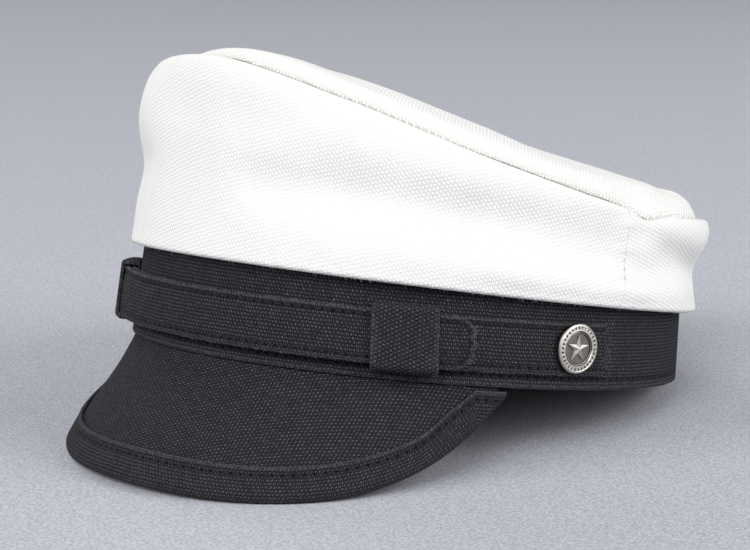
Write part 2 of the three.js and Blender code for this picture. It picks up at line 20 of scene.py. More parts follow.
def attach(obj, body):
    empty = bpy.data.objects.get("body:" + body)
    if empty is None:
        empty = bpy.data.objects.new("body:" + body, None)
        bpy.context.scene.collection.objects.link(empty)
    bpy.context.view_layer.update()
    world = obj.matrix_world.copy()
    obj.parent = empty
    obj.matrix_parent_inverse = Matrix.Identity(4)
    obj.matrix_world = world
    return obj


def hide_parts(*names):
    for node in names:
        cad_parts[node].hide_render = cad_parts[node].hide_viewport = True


bl_info = {
    "name": "Sailor Cap",
    "version": (1, 0, 0),
    "blender": (4, 5, 0),
    "location": "3D View > Sidebar > Sailor Cap",
    "description": "Dresses the packed sailor cap in canvas, stitching and metal",
    "category": "Add Mesh",
}

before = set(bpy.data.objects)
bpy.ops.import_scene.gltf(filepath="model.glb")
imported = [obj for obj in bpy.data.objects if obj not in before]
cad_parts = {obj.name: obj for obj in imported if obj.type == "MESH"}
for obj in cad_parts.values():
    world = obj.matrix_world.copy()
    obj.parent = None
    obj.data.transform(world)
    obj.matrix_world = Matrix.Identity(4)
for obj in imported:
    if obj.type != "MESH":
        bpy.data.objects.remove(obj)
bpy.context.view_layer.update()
MM = 0.001

# The cap as it was sewn, and how it lies
BAND_HALF_LENGTH = 100.5
BAND_HALF_WIDTH = 88.9
MM_PER_DEGREE = math.pi * (BAND_HALF_LENGTH + BAND_HALF_WIDTH) / 360
LIE_TILT = 10.75
CAP_MIDDLE = np.array([0.03, 7.5, 18.25])
GAP = 0.3

# Head band. Its stitches lie in a dip, and it is worn along its lower edge
BAND_WALL = 2.2
BAND_DRAW_IN = 0.045
BAND_ABOVE_EDGE = 4.0
BAND_EDGE_ROUND = 0.9
BAND_STITCH_HEIGHT = 3.6
BAND_FINE_ROWS_TO = 6.0
BAND_DIP = 0.3
BAND_DIP_WIDTH = 0.45
BAND_WEAR = 1.2
HEM_ANGLES = np.linspace(-180, 180, 1200)

# Side seams, where the lengths of band and crown meet. Rows lie close together at a seam, at the given
# insets from it. FAR stands for a distance with no seam or stitches near
SIDE_SEAM_ANGLE = 88.0
SIDE_SEAM_GAP = 0.01
SIDE_SEAM_ROUND = 0.25
SIDE_SEAM_BOW = 1.6
SIDE_SEAM_BOW_RUN = 25.0
FRONT_TO = SIDE_SEAM_ANGLE - SIDE_SEAM_GAP
BACK_FROM = SIDE_SEAM_ANGLE + SIDE_SEAM_GAP
FRONT_ENDS = (-FRONT_TO, FRONT_TO)
BACK_ENDS = (BACK_FROM, 360 - BACK_FROM)
PANEL_ROWS = 400
SEAM_ROWS = np.array([0, 0.05, 0.12, 0.22, 0.35, 0.5, 0.65, 0.8, 1.1])
SEAM_ROWS_TO = 1.5
FAR = 50.0

# Crown. The crease beside the top seam has painted shade, dark over a narrow bell curve and lighter over a
# wide one, and the painted shade is weaker behind the side seams, where the seam gapes less
CROWN_WALL = 1.8
CROWN_EDGE_HEIGHT = 26.5
CROWN_EDGE_SLOPE = -0.0379
CROWN_EDGE_ROUND = 1.5
SHOULDER_OUT = 1.2
SEAM_LIP = 0.9
SEAM_CLOSES = (93, 99)
SEAM_CLOSED = 0.9
PUFF_WIDTH = 0.1
DIP_SHARE = 0.14
TOP_BLEND = 1.5
TOP_SWELL = 1.5
SEAM_HIDES = 0.9 * SEAM_LIP
HIDDEN_AT_SIDES = 0.9
HIDDEN_IN_FRONT = 0.5
WALL_HEIGHTS = (0.2, 0.47, 0.78, 0.95)
CREASE_SHADE_STRENGTH = 0.8
CREASE_LINE_SHADE_WIDTH = 0.32
CREASE_SHADE_WIDTH = 2.6
SIDE_CREASE_SHADE_WIDTH = 0.5

# One row every 30 degrees. edge to seam are outsets of the cloth from the turned lower edge to the top
# seam, height is the top seam's above the lower edge, roll is the shoulder's above that, and puff is
# how far the top panel rises just inside the seam.
SECTION_COLUMNS = ("angle", "edge", "low", "waist", "bulge", "seam", "height", "roll", "puff")
SECTIONS = np.array([
    (-150, 3.8, 3.6, 2.6, 5.0, 1.5, 33.0, 1.5, 6.0),
    (-120, 3.8, 3.6, 2.4, 5.0, 1.0, 32.5, 1.5, 6.0),
    (-90, 3.6, 3.8, 2.4, 4.5, -0.5, 33.5, 1.5, 5.5),
    (-60, 3.3, 3.6, 2.4, 4.5, -2.0, 43.0, 1.5, 4.6),
    (-30, 3.0, 2.6, 2.4, 4.6, -4.5, 57.5, 4.0, 4.5),
    (0, 3.2, 2.8, 2.4, 4.0, -5.0, 62.0, 2.5, 4.5),
    (30, 3.3, 3.4, 2.4, 3.6, -3.0, 53.4, 1.2, 4.2),
    (60, 3.4, 4.2, 2.2, 3.6, -1.5, 40.4, 1.0, 4.6),
    (90, 3.6, 4.2, 2.2, 3.6, -0.5, 31.8, 1.0, 6.5),
    (120, 4.0, 3.4, 2.2, 5.6, 1.0, 32.0, 0.6, 8.0),
    (150, 4.1, 3.6, 2.4, 5.4, 1.5, 33.0, 1.0, 8.0),
    (180, 4.0, 3.6, 2.6, 5.0, 1.5, 33.0, 1.5, 7.0),
])

# Places where the top seam is drawn down: angle, half width in degrees, depth
SEAM_DIPS = ((94.3, 4.6, 2.5),)

# Small gathers of the cloth beside a seam: wave length along it, share, phase
GATHERS = ((7.3, 1.0, 0.0), (4.1, 0.6, 1.3))
GATHER_DEPTH = 0.11
GATHER_REACH = 5.0

# Creases in the top panel: from x, y to x, y, half width, and depth (a ridge where it is negative)
TOP_CREASES = (
    (60, 58, 84, 20, 4, 1.7),
    (70, 66, 92, 28, 5, -1.2),
    (-30, -62, 30, -70, 9, 0.8),
    (10, -20, 60, -5, 14, 0.7),
    (-60, 20, -20, 55, 12, 0.8),
)
TOP_WAVE_DEPTH = 0.25

# Soft valleys in the crown's sides: from angle, from height above the lower edge, to angle, to height,
# half width and depth
SIDE_VALLEYS = (
    (14, 25, 84, 24, 8, 1.6),
    (-14, 48, 16, 45, 9, 1.8),
    (92, 24, 124, 13, 5, 1.3),
    (-82, 23, -24, 27, 8, 1.2),
    (-134, 14, -96, 22, 6, 1.2),
)

# Slow unevenness of the crown's cloth: waves round the cap, waves per 100 mm of height, phase, depth
UNEVENNESS = (
    (9, 1.1, 0.4, 0.16),
    (14, -1.7, 2.1, 0.13),
    (23, 2.3, 4.0, 0.09),
    (37, -3.1, 1.2, 0.06),
)

# Peak and its binding, whose half thickness over the board is BINDING_HALF
PEAK_LENGTH = 45.6
PEAK_ROOT_ANGLE = 67.7
PEAK_OUTLINE = 3.05
PEAK_END_ROUND = 1.04
PEAK_SLOPE = 60.4
PEAK_SLOPE_GAIN = 20.5
PEAK_ROOT_OUTSET = -0.65
PEAK_HALF_WALL = 1.2
PEAK_HOLLOW = 2.0
PEAK_HOLLOW_FADE = (8, 34)
FLANGE_HEIGHT = 9.0
FLANGE_WALL = 1.5
BINDING_WALL = 0.9
BINDING_WIDTH = 11.1
BINDING_END_WIDTH = 13.0
BINDING_ENDS_AT = 0.974
BOARD_ENDS_AT = 0.975
BINDING_HALF = PEAK_HALF_WALL + GAP + BINDING_WALL
BINDING_DIP = 0.3
BINDING_DIP_WIDTH = 0.5
BINDING_RIDGE = 0.35
BINDING_RIDGE_INSET = 0.9
BINDING_RIDGE_WIDTH = 0.8
BINDING_TUCK = 0.5
BINDING_TUCK_REACH = 0.25
BINDING_ROOT_GAP = 0.8
BINDING_STITCH_INSET = 3.0
BINDING_FOLD_COLUMN = 30
SHORTEST_LEG = 0.3

# Strap. The face share is how much of its wall its face stands off its back, and the insets are those of
# its columns from its edges and of its first rows from its tip
STRAP_MIDDLE = 13.1
STRAP_WIDTH = 16.5
STRAP_LOW = STRAP_MIDDLE - STRAP_WIDTH / 2
STRAP_HIGH = STRAP_MIDDLE + STRAP_WIDTH / 2
STRAP_WALL = 1.8
STRAP_STITCH_INSET = 1.9
STRAP_END_ANGLE = 86.6
STRAP_TIP_ANGLE = 58.3
STRAP_TIP_ROUND = 6.5
STRAP_EDGE_ROUND = 0.75
STRAP_SWELL = 0.22
STRAP_DIP = 0.32
STRAP_DIP_WIDTH = 0.4
STRAP_SLACK = 0.12
STRAP_INSETS = (0, 0.08, 0.2, 0.4, 0.65, 0.95, 1.25, 1.5, 1.7, 1.9, 2.1, 2.3, 2.6, 3.0, 3.8, 5.0, 6.6, 8.25)
STRAP_TIP_INSETS = (0, 0.1, 0.25, 0.5, 0.8, 1.2, 1.6, 1.9, 2.2, 2.6, 3.2)
STRAP_FACE_SHARE = 0.92
CLOTH_WEAR = 0.7
CROSSING = (60.0, 66.0)

# Keepers, and the lift of the strap that makes room for their backs
KEEPER_FROM_ANGLE = 39.4
KEEPER_TO_ANGLE = 51.2
KEEPER_LIFT = 1.1
KEEPER_LIFT_RUN = 6.0
KEEPER_BACK_WALL = 0.8
KEEPER_FRONT_WALL = 1.4
KEEPER_OVERHANG = 1.7
KEEPER_LOW_CORNER = 2.6
KEEPER_CORNER = 1.35
KEEPER_INNER_CORNER = 0.4
KEEPER_INNER_LOW_CORNER = 0.8
KEEPER_EDGE_ROUND = 0.7
KEEPER_FACE = 5.2
KEEPER_LEAN = 0.07

# Buttons. The rim's rows are radius and height of its front, from its back edge to the sunk field's edge
BUTTON_ANGLE = 78.9
BUTTON_HEIGHT = 13.6
BUTTON_SHARP = 22
BUTTON_RIM = np.array([
    (7.4, 0), (7.75, 0.2), (8, 0.6), (7.97, 1.05), (7.75, 1.45), (7.4, 1.7), (7.15, 1.75), (7.05, 1.7),
    (6.95, 1.7), (6.7, 1.72), (6.4, 1.74), (6.15, 1.74), (6.05, 1.75), (5.85, 1.8), (5.65, 1.78), (5.5, 1.6),
    (5.42, 1.1), (5.28, 1.1), (5.2, 1.45), (5.1, 1.52), (5.0, 1.45), (4.95, 1.2),
])
BUTTON_FIELD_RADIUS = 4.9
BUTTON_FIELD_HEIGHT = 1.2
BUTTON_NOTCHES = 30
NOTCH_DEPTH = 0.3
NOTCHED_RADII = (6.1, 7.0)
NOTCHED_ABOVE = 1.6
STAR_OUTER_RADIUS = 4.4
STAR_INNER_RADIUS = 1.75
STAR_POINTS = 5
STAR_HEIGHT = 1.1
STAR_STEP = 0.3
STAR_FIELD_GAP = 0.12
STAR_FIELD_SINK = 0.15
STAR_FOOT_OUT = 0.02
STAR_STEP_IN = 0.08
SHANK_RADIUS = 2.0
SHANK_HEAD_RADIUS = 4.5
SHANK_HEAD_THICKNESS = 0.8
SHANK_HEAD_BEVEL = 0.3

# Open needle holes beside the crown's side seams, painted as spots of shade: millimetres up the cloth from
# the band, then from the seam, how dark the painted shade is, and their half height and half width
NEEDLE_MARKS = (14.5, 17.3, 20.2)
NEEDLE_MARK_INSET = 0.25
NEEDLE_HOLE_SHADE = 0.7
NEEDLE_MARK_SIZE = (0.35, 0.2)

# Sewing
STITCH_LENGTH = 3.2
STITCH_STEPS = 12
STITCH_ARCH = 0.28
STITCH_SUNK = 0.16
THREAD_RADIUS = 0.3
HOLE_RADIUS = 0.75
LINE_STEP = 0.25
POINTS_AT_ONCE = 4000

# Loose fibres. Those at the crown's edge stand within RIM_SPREAD of it in height
FIBRE_SEED = 11
FIBRE_RADIUS = 0.045
FIBRE_STEPS = 6
RIM_SPREAD = (-0.1, 0.8)
UPPER_STRAP_RUN = (-86, STRAP_TIP_ANGLE - 3)

# Rows of a fibre piece: count, the face they stand on, angles, heights (none at the crown's edge), how far
# they lean out and down, and lengths
FIBRES = {
    "white_fibres": (
        (420, "crown edge", (-180, 180), None, (0.5, 1.0), (0.4, 1.3)),
        (26, "band", (20, 85), (18, 27), (0.3, 0), (0.3, 1.0)),
        (34, "lower strap", (-80, 85), (STRAP_LOW, STRAP_HIGH), (0.2, 0), (0.2, 0.7)),
    ),
    "grey_fibres": (
        (260, "upper strap", UPPER_STRAP_RUN, (STRAP_HIGH - 0.5, STRAP_HIGH), (0.4, -0.6), (0.4, 1.1)),
        (200, "upper strap", UPPER_STRAP_RUN, (STRAP_LOW, STRAP_LOW + 0.5), (0.4, 0.6), (0.4, 1.1)),
        (90, "upper strap", (STRAP_TIP_ANGLE - 1.2, STRAP_TIP_ANGLE), (7, 19), (0.3, 0), (0.5, 1.6)),
        (110, "lower strap", (86, 88.4), (5, 22), (0.4, 0), (0.4, 1.4)),
        (16, "keeper", (KEEPER_TO_ANGLE - 1, KEEPER_TO_ANGLE), (3, 5), (0.5, 1), (0.8, 2.2)),
        (150, "lower strap", (30, 88), (STRAP_LOW, STRAP_LOW + 0.4), (0.4, 0.6), (0.4, 1.0)),
    ),
}

# Grain of each cloth piece, in degrees from the line round the cap to the weft
GRAIN = {"crown_front": 18.0, "crown_back": -14.0, "crown_top": 15.0, "peak": 90.0, "keeper": 28.0}

# The peak's cloth lay flat in an arc before it was curved down: the arc's radius at the root, and the
# degrees of the arc for each degree round the cap
PEAK_CUT_RADIUS = 160.0
PEAK_CUT_SPREAD = 0.55
PEAK_CLOTH_STRETCH = 1.08

# Stage
FLOOR_RADIUS = 8.0
FLOOR_DROP = 0.0002
LIGHT_AIM = (0.0, 0.0, 0.04)
ROOM_RISE = (0.0, 0.75)
ROOM_LOW = (0.55, 0.555, 0.56, 1)
ROOM_HIGH = (1.12, 1.12, 1.12, 1)

# Lamps: name, place, size, watts
LIGHTS = (
    ("Front light", (2.4, -3.4, 2.4), 3.2, 60.0),
    ("Left light", (-1.6, -4.0, 2.2), 3.2, 163.0),
    ("Right light", (4.0, 1.2, 2.0), 3.2, 216.0),
    ("High light", (1.8, -2.9, 3.5), 3.2, 142.0),
    ("Back left light", (-4.0, 1.2, 3.0), 3.2, 92.0),
    ("Back right light", (1.8, 4.0, 2.8), 3.2, 46.0),
)

# Camera, worked out from the photograph
CAMERA_PLACE = (475.0, -481.7, 179.1)
CAMERA_AZIMUTH = 45.05
CAMERA_ELEVATION = 11.05
CAMERA_ROLL = -1.84
CAMERA_LENS = 96.0
CAMERA_SENSOR = 36.0


def smoothstep(x, low, high):
    """0 below low, 1 above high, and 3t^2 - 2t^3 between them."""
    t = np.clip((x - low) / (high - low), 0, 1)
    return t * t * (3 - 2 * t)


def bell(distance, width):
    """Bell curve: exp(-(distance / width)^2)."""
    return np.exp(-((distance / width) ** 2))


def unit(vectors):
    """Vectors along the last axis, each made one long."""
    return vectors / np.linalg.norm(vectors, axis=-1, keepdims=True)


def line_distance(off, run):
    """Distance of points from a straight line. off is from the line's start to each, run to its end."""
    off, run = np.stack(off, -1), np.array(run, float)
    share = np.clip(off @ run / (run @ run), 0, 1)
    return np.linalg.norm(off - share[..., None] * run, axis=-1)


def catmull_rom(a, b, c, d, t):
    """Cubic through b at t = 0 and c at t = 1, whose slopes are half of c - a and half of d - b."""
    return b + 0.5 * t * (c - a + t * (2 * a - 5 * b + 4 * c - d + t * (3 * (b - c) + d - a)))


def outward(angle):
    """Unit outward direction in plan: the ellipse's normal at an angle."""
    a = np.radians(np.asarray(angle, float) - 90)
    return unit(np.stack([np.cos(a) / BAND_HALF_WIDTH, np.sin(a) / BAND_HALF_LENGTH], -1))


def place(angle, outset, height):
    """Point of the cap's frame: the ellipse's point at the angle, moved outset along its normal."""
    angle, outset, height = np.broadcast_arrays(*(np.asarray(x, float) for x in (angle, outset, height)))
    a = np.radians(angle - 90)
    n = outward(angle)
    x = BAND_HALF_WIDTH * np.cos(a) + outset * n[..., 0]
    y = BAND_HALF_LENGTH * np.sin(a) + outset * n[..., 1]
    return np.stack([x, y, height], -1)


def lay(points):
    """Cap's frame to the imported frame: a turn about X by the lie angle, a shift to where the cap lies,
    whatever is under the table lifted up to it, and millimetres to metres."""
    tilt = math.radians(LIE_TILT)
    x, y, z = np.moveaxis(np.asarray(points, float), -1, 0)
    back = y * math.cos(tilt) + z * math.sin(tilt)
    up = z * math.cos(tilt) - y * math.sin(tilt)
    laid = np.stack([x, back, up], -1) + CAP_MIDDLE
    laid[..., 2] = np.maximum(laid[..., 2], 0)
    return laid * MM


def folded(angle):
    """Angle brought into the range from -180 to 180."""
    return np.mod(np.asarray(angle, float) + 180, 360) - 180


def section(column, angle):
    """Value of a section column at an angle: a Catmull-Rom curve through the rows, closed round."""
    values = SECTIONS[:, SECTION_COLUMNS.index(column)]
    count = len(values)
    row = np.mod(np.asarray(angle, float) - SECTIONS[0, 0], 360) * count / 360
    first = np.floor(row).astype(int)
    near = [values[(first + k) % count] for k in (-1, 0, 1, 2)]
    return catmull_rom(*near, row - first)


def seam_height(angle):
    """Height of the top seam above the crown's lower edge: the section's, less a bell curve at each dip."""
    dips = [depth * bell(folded(angle - at), width) for at, width, depth in SEAM_DIPS]
    return section("height", angle) - sum(dips)


def crown_edge_height(angle):
    """Height of the crown's lower edge: a plane that rises to the front."""
    a = np.radians(np.asarray(angle, float) - 90)
    return CROWN_EDGE_HEIGHT + CROWN_EDGE_SLOPE * BAND_HALF_LENGTH * np.sin(a)


def band_outset(height):
    """Outset of the band's face, which leans in as it rises."""
    return -BAND_DRAW_IN * np.asarray(height, float)


def trough(angle, height, valley):
    """Depth of one valley: a bell curve of the distance to the valley's line on the unrolled side."""
    from_angle, from_height, to_angle, to_height, half_width, depth = valley
    off = (folded(angle) - from_angle) * MM_PER_DEGREE, height - from_height
    run = (to_angle - from_angle) * MM_PER_DEGREE, to_height - from_height
    return depth * bell(line_distance(off, run), half_width)


def unevenness(angle, height):
    """Sum of slow waves round the cap and up its side."""
    waves = [
        depth * np.sin(np.radians(folded(angle)) * round_ + 2 * np.pi * height / 100 * up + phase)
        for round_, up, phase, depth in UNEVENNESS
    ]
    return sum(waves)


def crown_profile(angle, q):
    """(outset, height) of the crown's side. q runs from -2, at the band, through -1, under the edge,
    0, where the wall starts, and 5, at the top seam, to 6, down in the seam. The wall is a Catmull-Rom
    curve through six points, less the valleys and the unevenness."""
    angle, q = np.broadcast_arrays(np.asarray(angle, float), np.asarray(q, float))
    low_edge = crown_edge_height(angle)
    height = seam_height(angle)
    edge, seam, bulge = section("edge", angle), section("seam", angle) + GAP / 2, section("bulge", angle)
    shoulder = (bulge + seam) / 2 + SHOULDER_OUT
    outsets = np.stack([edge, section("low", angle), section("waist", angle), bulge, shoulder, seam])
    levels = np.stack([
        low_edge + CROWN_EDGE_ROUND,
        *(low_edge + share * height for share in WALL_HEIGHTS[:3]),
        low_edge + WALL_HEIGHTS[3] * height + section("roll", angle),
        low_edge + height,
    ])
    span = np.clip(np.floor(q), 0, 4).astype(int)
    t = np.clip(q, 0, 5) - span

    def curve(values):
        padded = np.concatenate([2 * values[:1] - values[1:2], values, 2 * values[-1:] - values[-2:-1]])
        near = [np.take_along_axis(padded, (span + k)[None], 0)[0] for k in range(4)]
        return catmull_rom(*near, t)

    outset, level = curve(outsets), curve(levels)
    above = level - low_edge
    fade = smoothstep(q, 0, 1) * (1 - smoothstep(q, 4.2, 5))
    dent = sum(trough(angle, above, valley) for valley in SIDE_VALLEYS)
    outset = outset - fade * (dent + unevenness(angle, above))
    turn = np.radians(90 * np.clip(q + 1, 0, 1))
    inner_edge = band_outset(low_edge) + GAP
    under = np.clip(q + 2, 0, 1)
    roll_out = edge - CROWN_EDGE_ROUND + CROWN_EDGE_ROUND * np.sin(turn)
    roll_up = low_edge + CROWN_EDGE_ROUND * (1 - np.cos(turn))
    run_out = inner_edge + (edge - CROWN_EDGE_ROUND - inner_edge) * under
    run_up = low_edge + CROWN_EDGE_ROUND * (1 - under)
    outset = np.where(q < -1, run_out, np.where(q < 0, roll_out, outset))
    level = np.where(q < -1, run_up, np.where(q < 0, roll_up, level))
    level = level - SEAM_LIP * np.clip(q - 5, 0, 1)
    return outset, level


def inside_line(outset, level, wall):
    """Profile moved square to itself by the wall, to the cap's inside. Profiles run along the last axis."""
    run = np.stack([np.gradient(outset, axis=-1), np.gradient(level, axis=-1)])
    run = run / np.linalg.norm(run, axis=0)
    return outset - wall * run[1], level + wall * run[0]


def path_length(points):
    """Running length along a path of points, or along each row of a grid of them."""
    steps = np.linalg.norm(np.diff(points, axis=-2), axis=-1)
    return np.concatenate([np.zeros(steps.shape[:-1] + (1,)), np.cumsum(steps, -1)], -1)


def turned(u, v, degrees):
    """Cloth coordinates turned so that the weft lies at an angle to u."""
    a = math.radians(degrees)
    return np.stack([u * math.cos(a) + v * math.sin(a), v * math.cos(a) - u * math.sin(a)], -1)


def numbered(shape):
    """Grid of point numbers in order."""
    return np.arange(math.prod(shape)).reshape(shape)


def grid_quads(n):
    """Quads between neighbours in one or more grids of point numbers."""
    return np.stack([n[..., :-1, :-1], n[..., 1:, :-1], n[..., 1:, 1:], n[..., :-1, 1:]], -1).reshape(-1, 4)


def shell(outer, inner, wrap=False):
    """Points and quads of the closed solid between an outer and an inner grid: both sheets, the inner
    one reversed, and a rim along each open side. wrap joins the last row to the first."""
    out = numbered(outer.shape[:2])
    ins = out + out.size
    if wrap:
        out, ins = (np.vstack([n, n[:1]]) for n in (out, ins))

    def rim(a, b):
        return np.stack([a[1:], a[:-1], b[:-1], b[1:]], -1)

    faces = [grid_quads(out), grid_quads(ins)[:, ::-1]]
    faces += [rim(out[:, 0], ins[:, 0]), rim(out[:, -1], ins[:, -1])[:, ::-1]]
    if not wrap:
        faces += [rim(out[0], ins[0])[:, ::-1], rim(out[-1], ins[-1])]
    points = np.concatenate([outer.reshape(-1, 3), inner.reshape(-1, 3)])
    return points, np.concatenate(faces)


def outward_faces(points, quads):
    """The quads, all reversed if they enclose a negative volume, which is the sum over their triangles
    of a . (b x c) / 6."""
    a, b, c, d = (points[quads[:, k]] for k in range(4))
    volume = np.einsum("ij,ij->i", a, np.cross(b, c) + np.cross(c, d)).sum()
    return quads if volume > 0 else quads[:, ::-1]


def add_object(name, data):
    """Object with the given data, linked to the scene."""
    made = bpy.data.objects.new(name, data)
    bpy.context.scene.collection.objects.link(made)
    return made


def add_mesh(name, points, quads, maps=None, masks=None, sharp=50.0):
    """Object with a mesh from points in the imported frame. maps are UV maps and masks are point
    attributes, each with a value for every point."""
    quads = outward_faces(points, quads)
    mesh = bpy.data.meshes.new(name)
    mesh.from_pydata(points, [], quads)
    for map_name, values in (maps or {}).items():
        layer = mesh.uv_layers.new(name=map_name)
        layer.data.foreach_set("uv", np.asarray(values, np.float32)[quads.ravel()].ravel())
    for mask_name, values in (masks or {}).items():
        attribute = mesh.attributes.new(mask_name, "FLOAT", "POINT")
        attribute.data.foreach_set("value", np.asarray(values, np.float32).ravel())
    work = bmesh.new()
    work.from_mesh(mesh)
    bmesh.ops.remove_doubles(work, verts=work.verts, dist=1e-7)
    work.to_mesh(mesh)
    work.free()
    mesh.shade_smooth()
    mesh.set_sharp_from_angle(angle=math.radians(sharp))
    return add_object(name, mesh)


def dress(piece, material, slot, *nodes):
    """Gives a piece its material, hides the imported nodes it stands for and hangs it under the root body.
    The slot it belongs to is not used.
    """
    piece.data.materials.append(material)
    if nodes:
        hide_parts(*nodes)
    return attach(piece, "root")


def dress_sheets(material, slot, pieces):
    """Dresses each piece for its node."""
    for piece, node in pieces:
        dress(piece, material, slot, node)


def grid_piece(name, outer, inner, cloth, stitches=FAR, wear_and_shade=0, wrap=False):
    """Closed cloth piece between two grids in the cap's frame, with its cloth map, its stitch map and its
    mask of wear and painted shade. The inner sheet takes the outer one's values."""
    points, quads = shell(outer, inner, wrap)

    def both_sheets(values, width):
        filled = np.broadcast_to(np.asarray(values, float), outer.shape[:2] + (width,))
        return np.tile(filled.reshape(-1, width), (2, 1))

    maps = {"Cloth": both_sheets(cloth, 2), "Stitches": both_sheets(stitches, 2)}
    masks = {"wear_and_shade": both_sheets(np.asarray(wear_and_shade)[..., None], 1)}
    return add_mesh(name, lay(points), quads, maps, masks)


# Sewing lines of the straps, which add their own: points with their outward direction beside them
SEWN = []


def along_path(path, points):
    """For each point, the length along the path to the path's nearest vertex plus the way on along its
    tangent, and the distance to that tangent."""
    flat = points.reshape(-1, path.shape[1])
    nearest = np.empty(len(flat), int)
    for start in range(0, len(flat), POINTS_AT_ONCE):
        block = slice(start, start + POINTS_AT_ONCE)
        nearest[block] = np.linalg.norm(flat[block, None] - path, axis=-1).argmin(1)
    tangent = unit(np.gradient(path, axis=0))[nearest]
    off = flat - path[nearest]
    forward = (off * tangent).sum(1)
    across = np.linalg.norm(off - forward[:, None] * tangent, axis=1)
    return np.stack([path_length(path)[nearest] + forward, across], -1).reshape(points.shape[:-1] + (2,))


def resampled(path, step):
    """Points at even spacing along a path, and the same for anything stacked beside the coordinates."""
    length = path_length(path[:, :3])
    count = max(int(length[-1] / step), 2)
    at = np.linspace(0, length[-1], count + 1)
    return np.stack([np.interp(at, length, column) for column in path.T], 1)


def facing_out(angles, outset, height):
    """Points on a face round the cap, with the outward direction beside them."""
    n = outward(angles)
    return np.concatenate([place(angles, outset, height), n, 0 * n[:, :1]], 1)


# Crown


def seam_round(distance, roundness=SEAM_LIP):
    """How far the cloth's edge drops into a seam: a quarter circle of the seam's roundness, 0 beyond it."""
    near = np.clip(1 - distance / roundness, 0, 1)
    return roundness * (1 - np.sqrt(1 - near**2))


def panel_angles(ends):
    """Angles of a panel's rows, close together at both ends where the cloth rolls into its seams, and the
    distance in millimetres from each to the nearer end."""
    length = (ends[1] - ends[0]) * MM_PER_DEGREE
    middle = np.linspace(SEAM_ROWS_TO, length - SEAM_ROWS_TO, PANEL_ROWS)
    inset = np.concatenate([SEAM_ROWS, middle, length - SEAM_ROWS[::-1]])
    return (ends[0] + inset / MM_PER_DEGREE)[:, None], np.minimum(inset, length - inset)[:, None]


def pucker(along, distance):
    """Small gathers beside a seam: waves along it that die away from it."""
    waves = [share * np.sin(along * 2 * np.pi / length + phase) for length, share, phase in GATHERS]
    return GATHER_DEPTH * sum(waves) * np.exp(-np.abs(distance) / GATHER_REACH)


def seam_shade_share(angle):
    """Share of painted shade in the top seam's crease: 1 in front of the side seams, and little behind them.
    """
    return 1 - SEAM_CLOSED * smoothstep(np.abs(folded(angle)), *SEAM_CLOSES)


def crown_side_grids(ends):
    """Outer and inner grid of a side panel, a row for each angle and a column for each q. The ends bow by
    bow sin(pi q / 5), which dies away from them. Gathers run along the top seam, the lower edge and the
    ends, and the cloth rolls into its seams."""
    angles, inset = panel_angles(ends)
    wall = np.concatenate([np.linspace(0, 4.6, 66)[:-1], np.linspace(4.6, 5, 12)])
    q = np.concatenate([[-2, -1.6, -1.2], np.linspace(-1, 0, 6)[:-1], wall])[None, :]
    bow = SIDE_SEAM_BOW * np.sin(np.pi * np.clip(q, 0, 5) / 5) * np.exp(-inset / SIDE_SEAM_BOW_RUN)
    angles = angles + bow * np.sign(folded(angles)) / MM_PER_DEGREE
    outset, level = crown_profile(angles, q)
    inner_out, inner_up = inside_line(outset, level, CROWN_WALL)
    inner_out[:, -1] = outset[:, -1]
    inner_up[:, -1] = level[:, -1] - CROWN_WALL
    along = angles * MM_PER_DEGREE
    to_seam = np.where(q > 4, outset - outset[:, -1:], FAR)
    above_edge, below_seam = smoothstep(q, -1, 0), 1 - smoothstep(q, 4.8, 5)
    gather = np.where(q > 3.2, pucker(along, to_seam), 0) + np.where(q > -1, pucker(along + 3, 8 * q), 0)
    outset = outset + gather * above_edge * below_seam
    outset = outset + pucker(level, inset) * smoothstep(q, 0, 1) * (1 - smoothstep(q, 4, 5))
    outset = outset - seam_round(inset, SIDE_SEAM_ROUND) * above_edge * below_seam
    level = level - seam_round(to_seam)
    return angles, inset, place(angles, outset, level), place(angles, inner_out, inner_up)


def crown_side_panel(name, ends):
    """Side panel of the crown. Its mask holds painted shade down in the top seam and at each needle hole, by
    a bell curve of the distance from the seam, and by the product of two up and across the cloth."""
    angles, inset, outer, inner = crown_side_grids(ends)
    up = path_length(outer)
    cloth = turned(angles * MM_PER_DEGREE + 0 * up, up, GRAIN[name])
    # Painted shade down in the top seam's crease
    dark = seam_shade_share(angles) * bell(up[:, -1:] - up, SIDE_CREASE_SHADE_WIDTH)
    # Painted shade in each open needle hole
    half_height, half_width = NEEDLE_MARK_SIZE
    beside = NEEDLE_HOLE_SHADE * bell(inset - NEEDLE_MARK_INSET, half_width)
    dark = dark + sum(beside * bell(up - at, half_height) for at in NEEDLE_MARKS)
    return grid_piece(name, outer, inner, cloth, wear_and_shade=np.minimum(dark, 1))


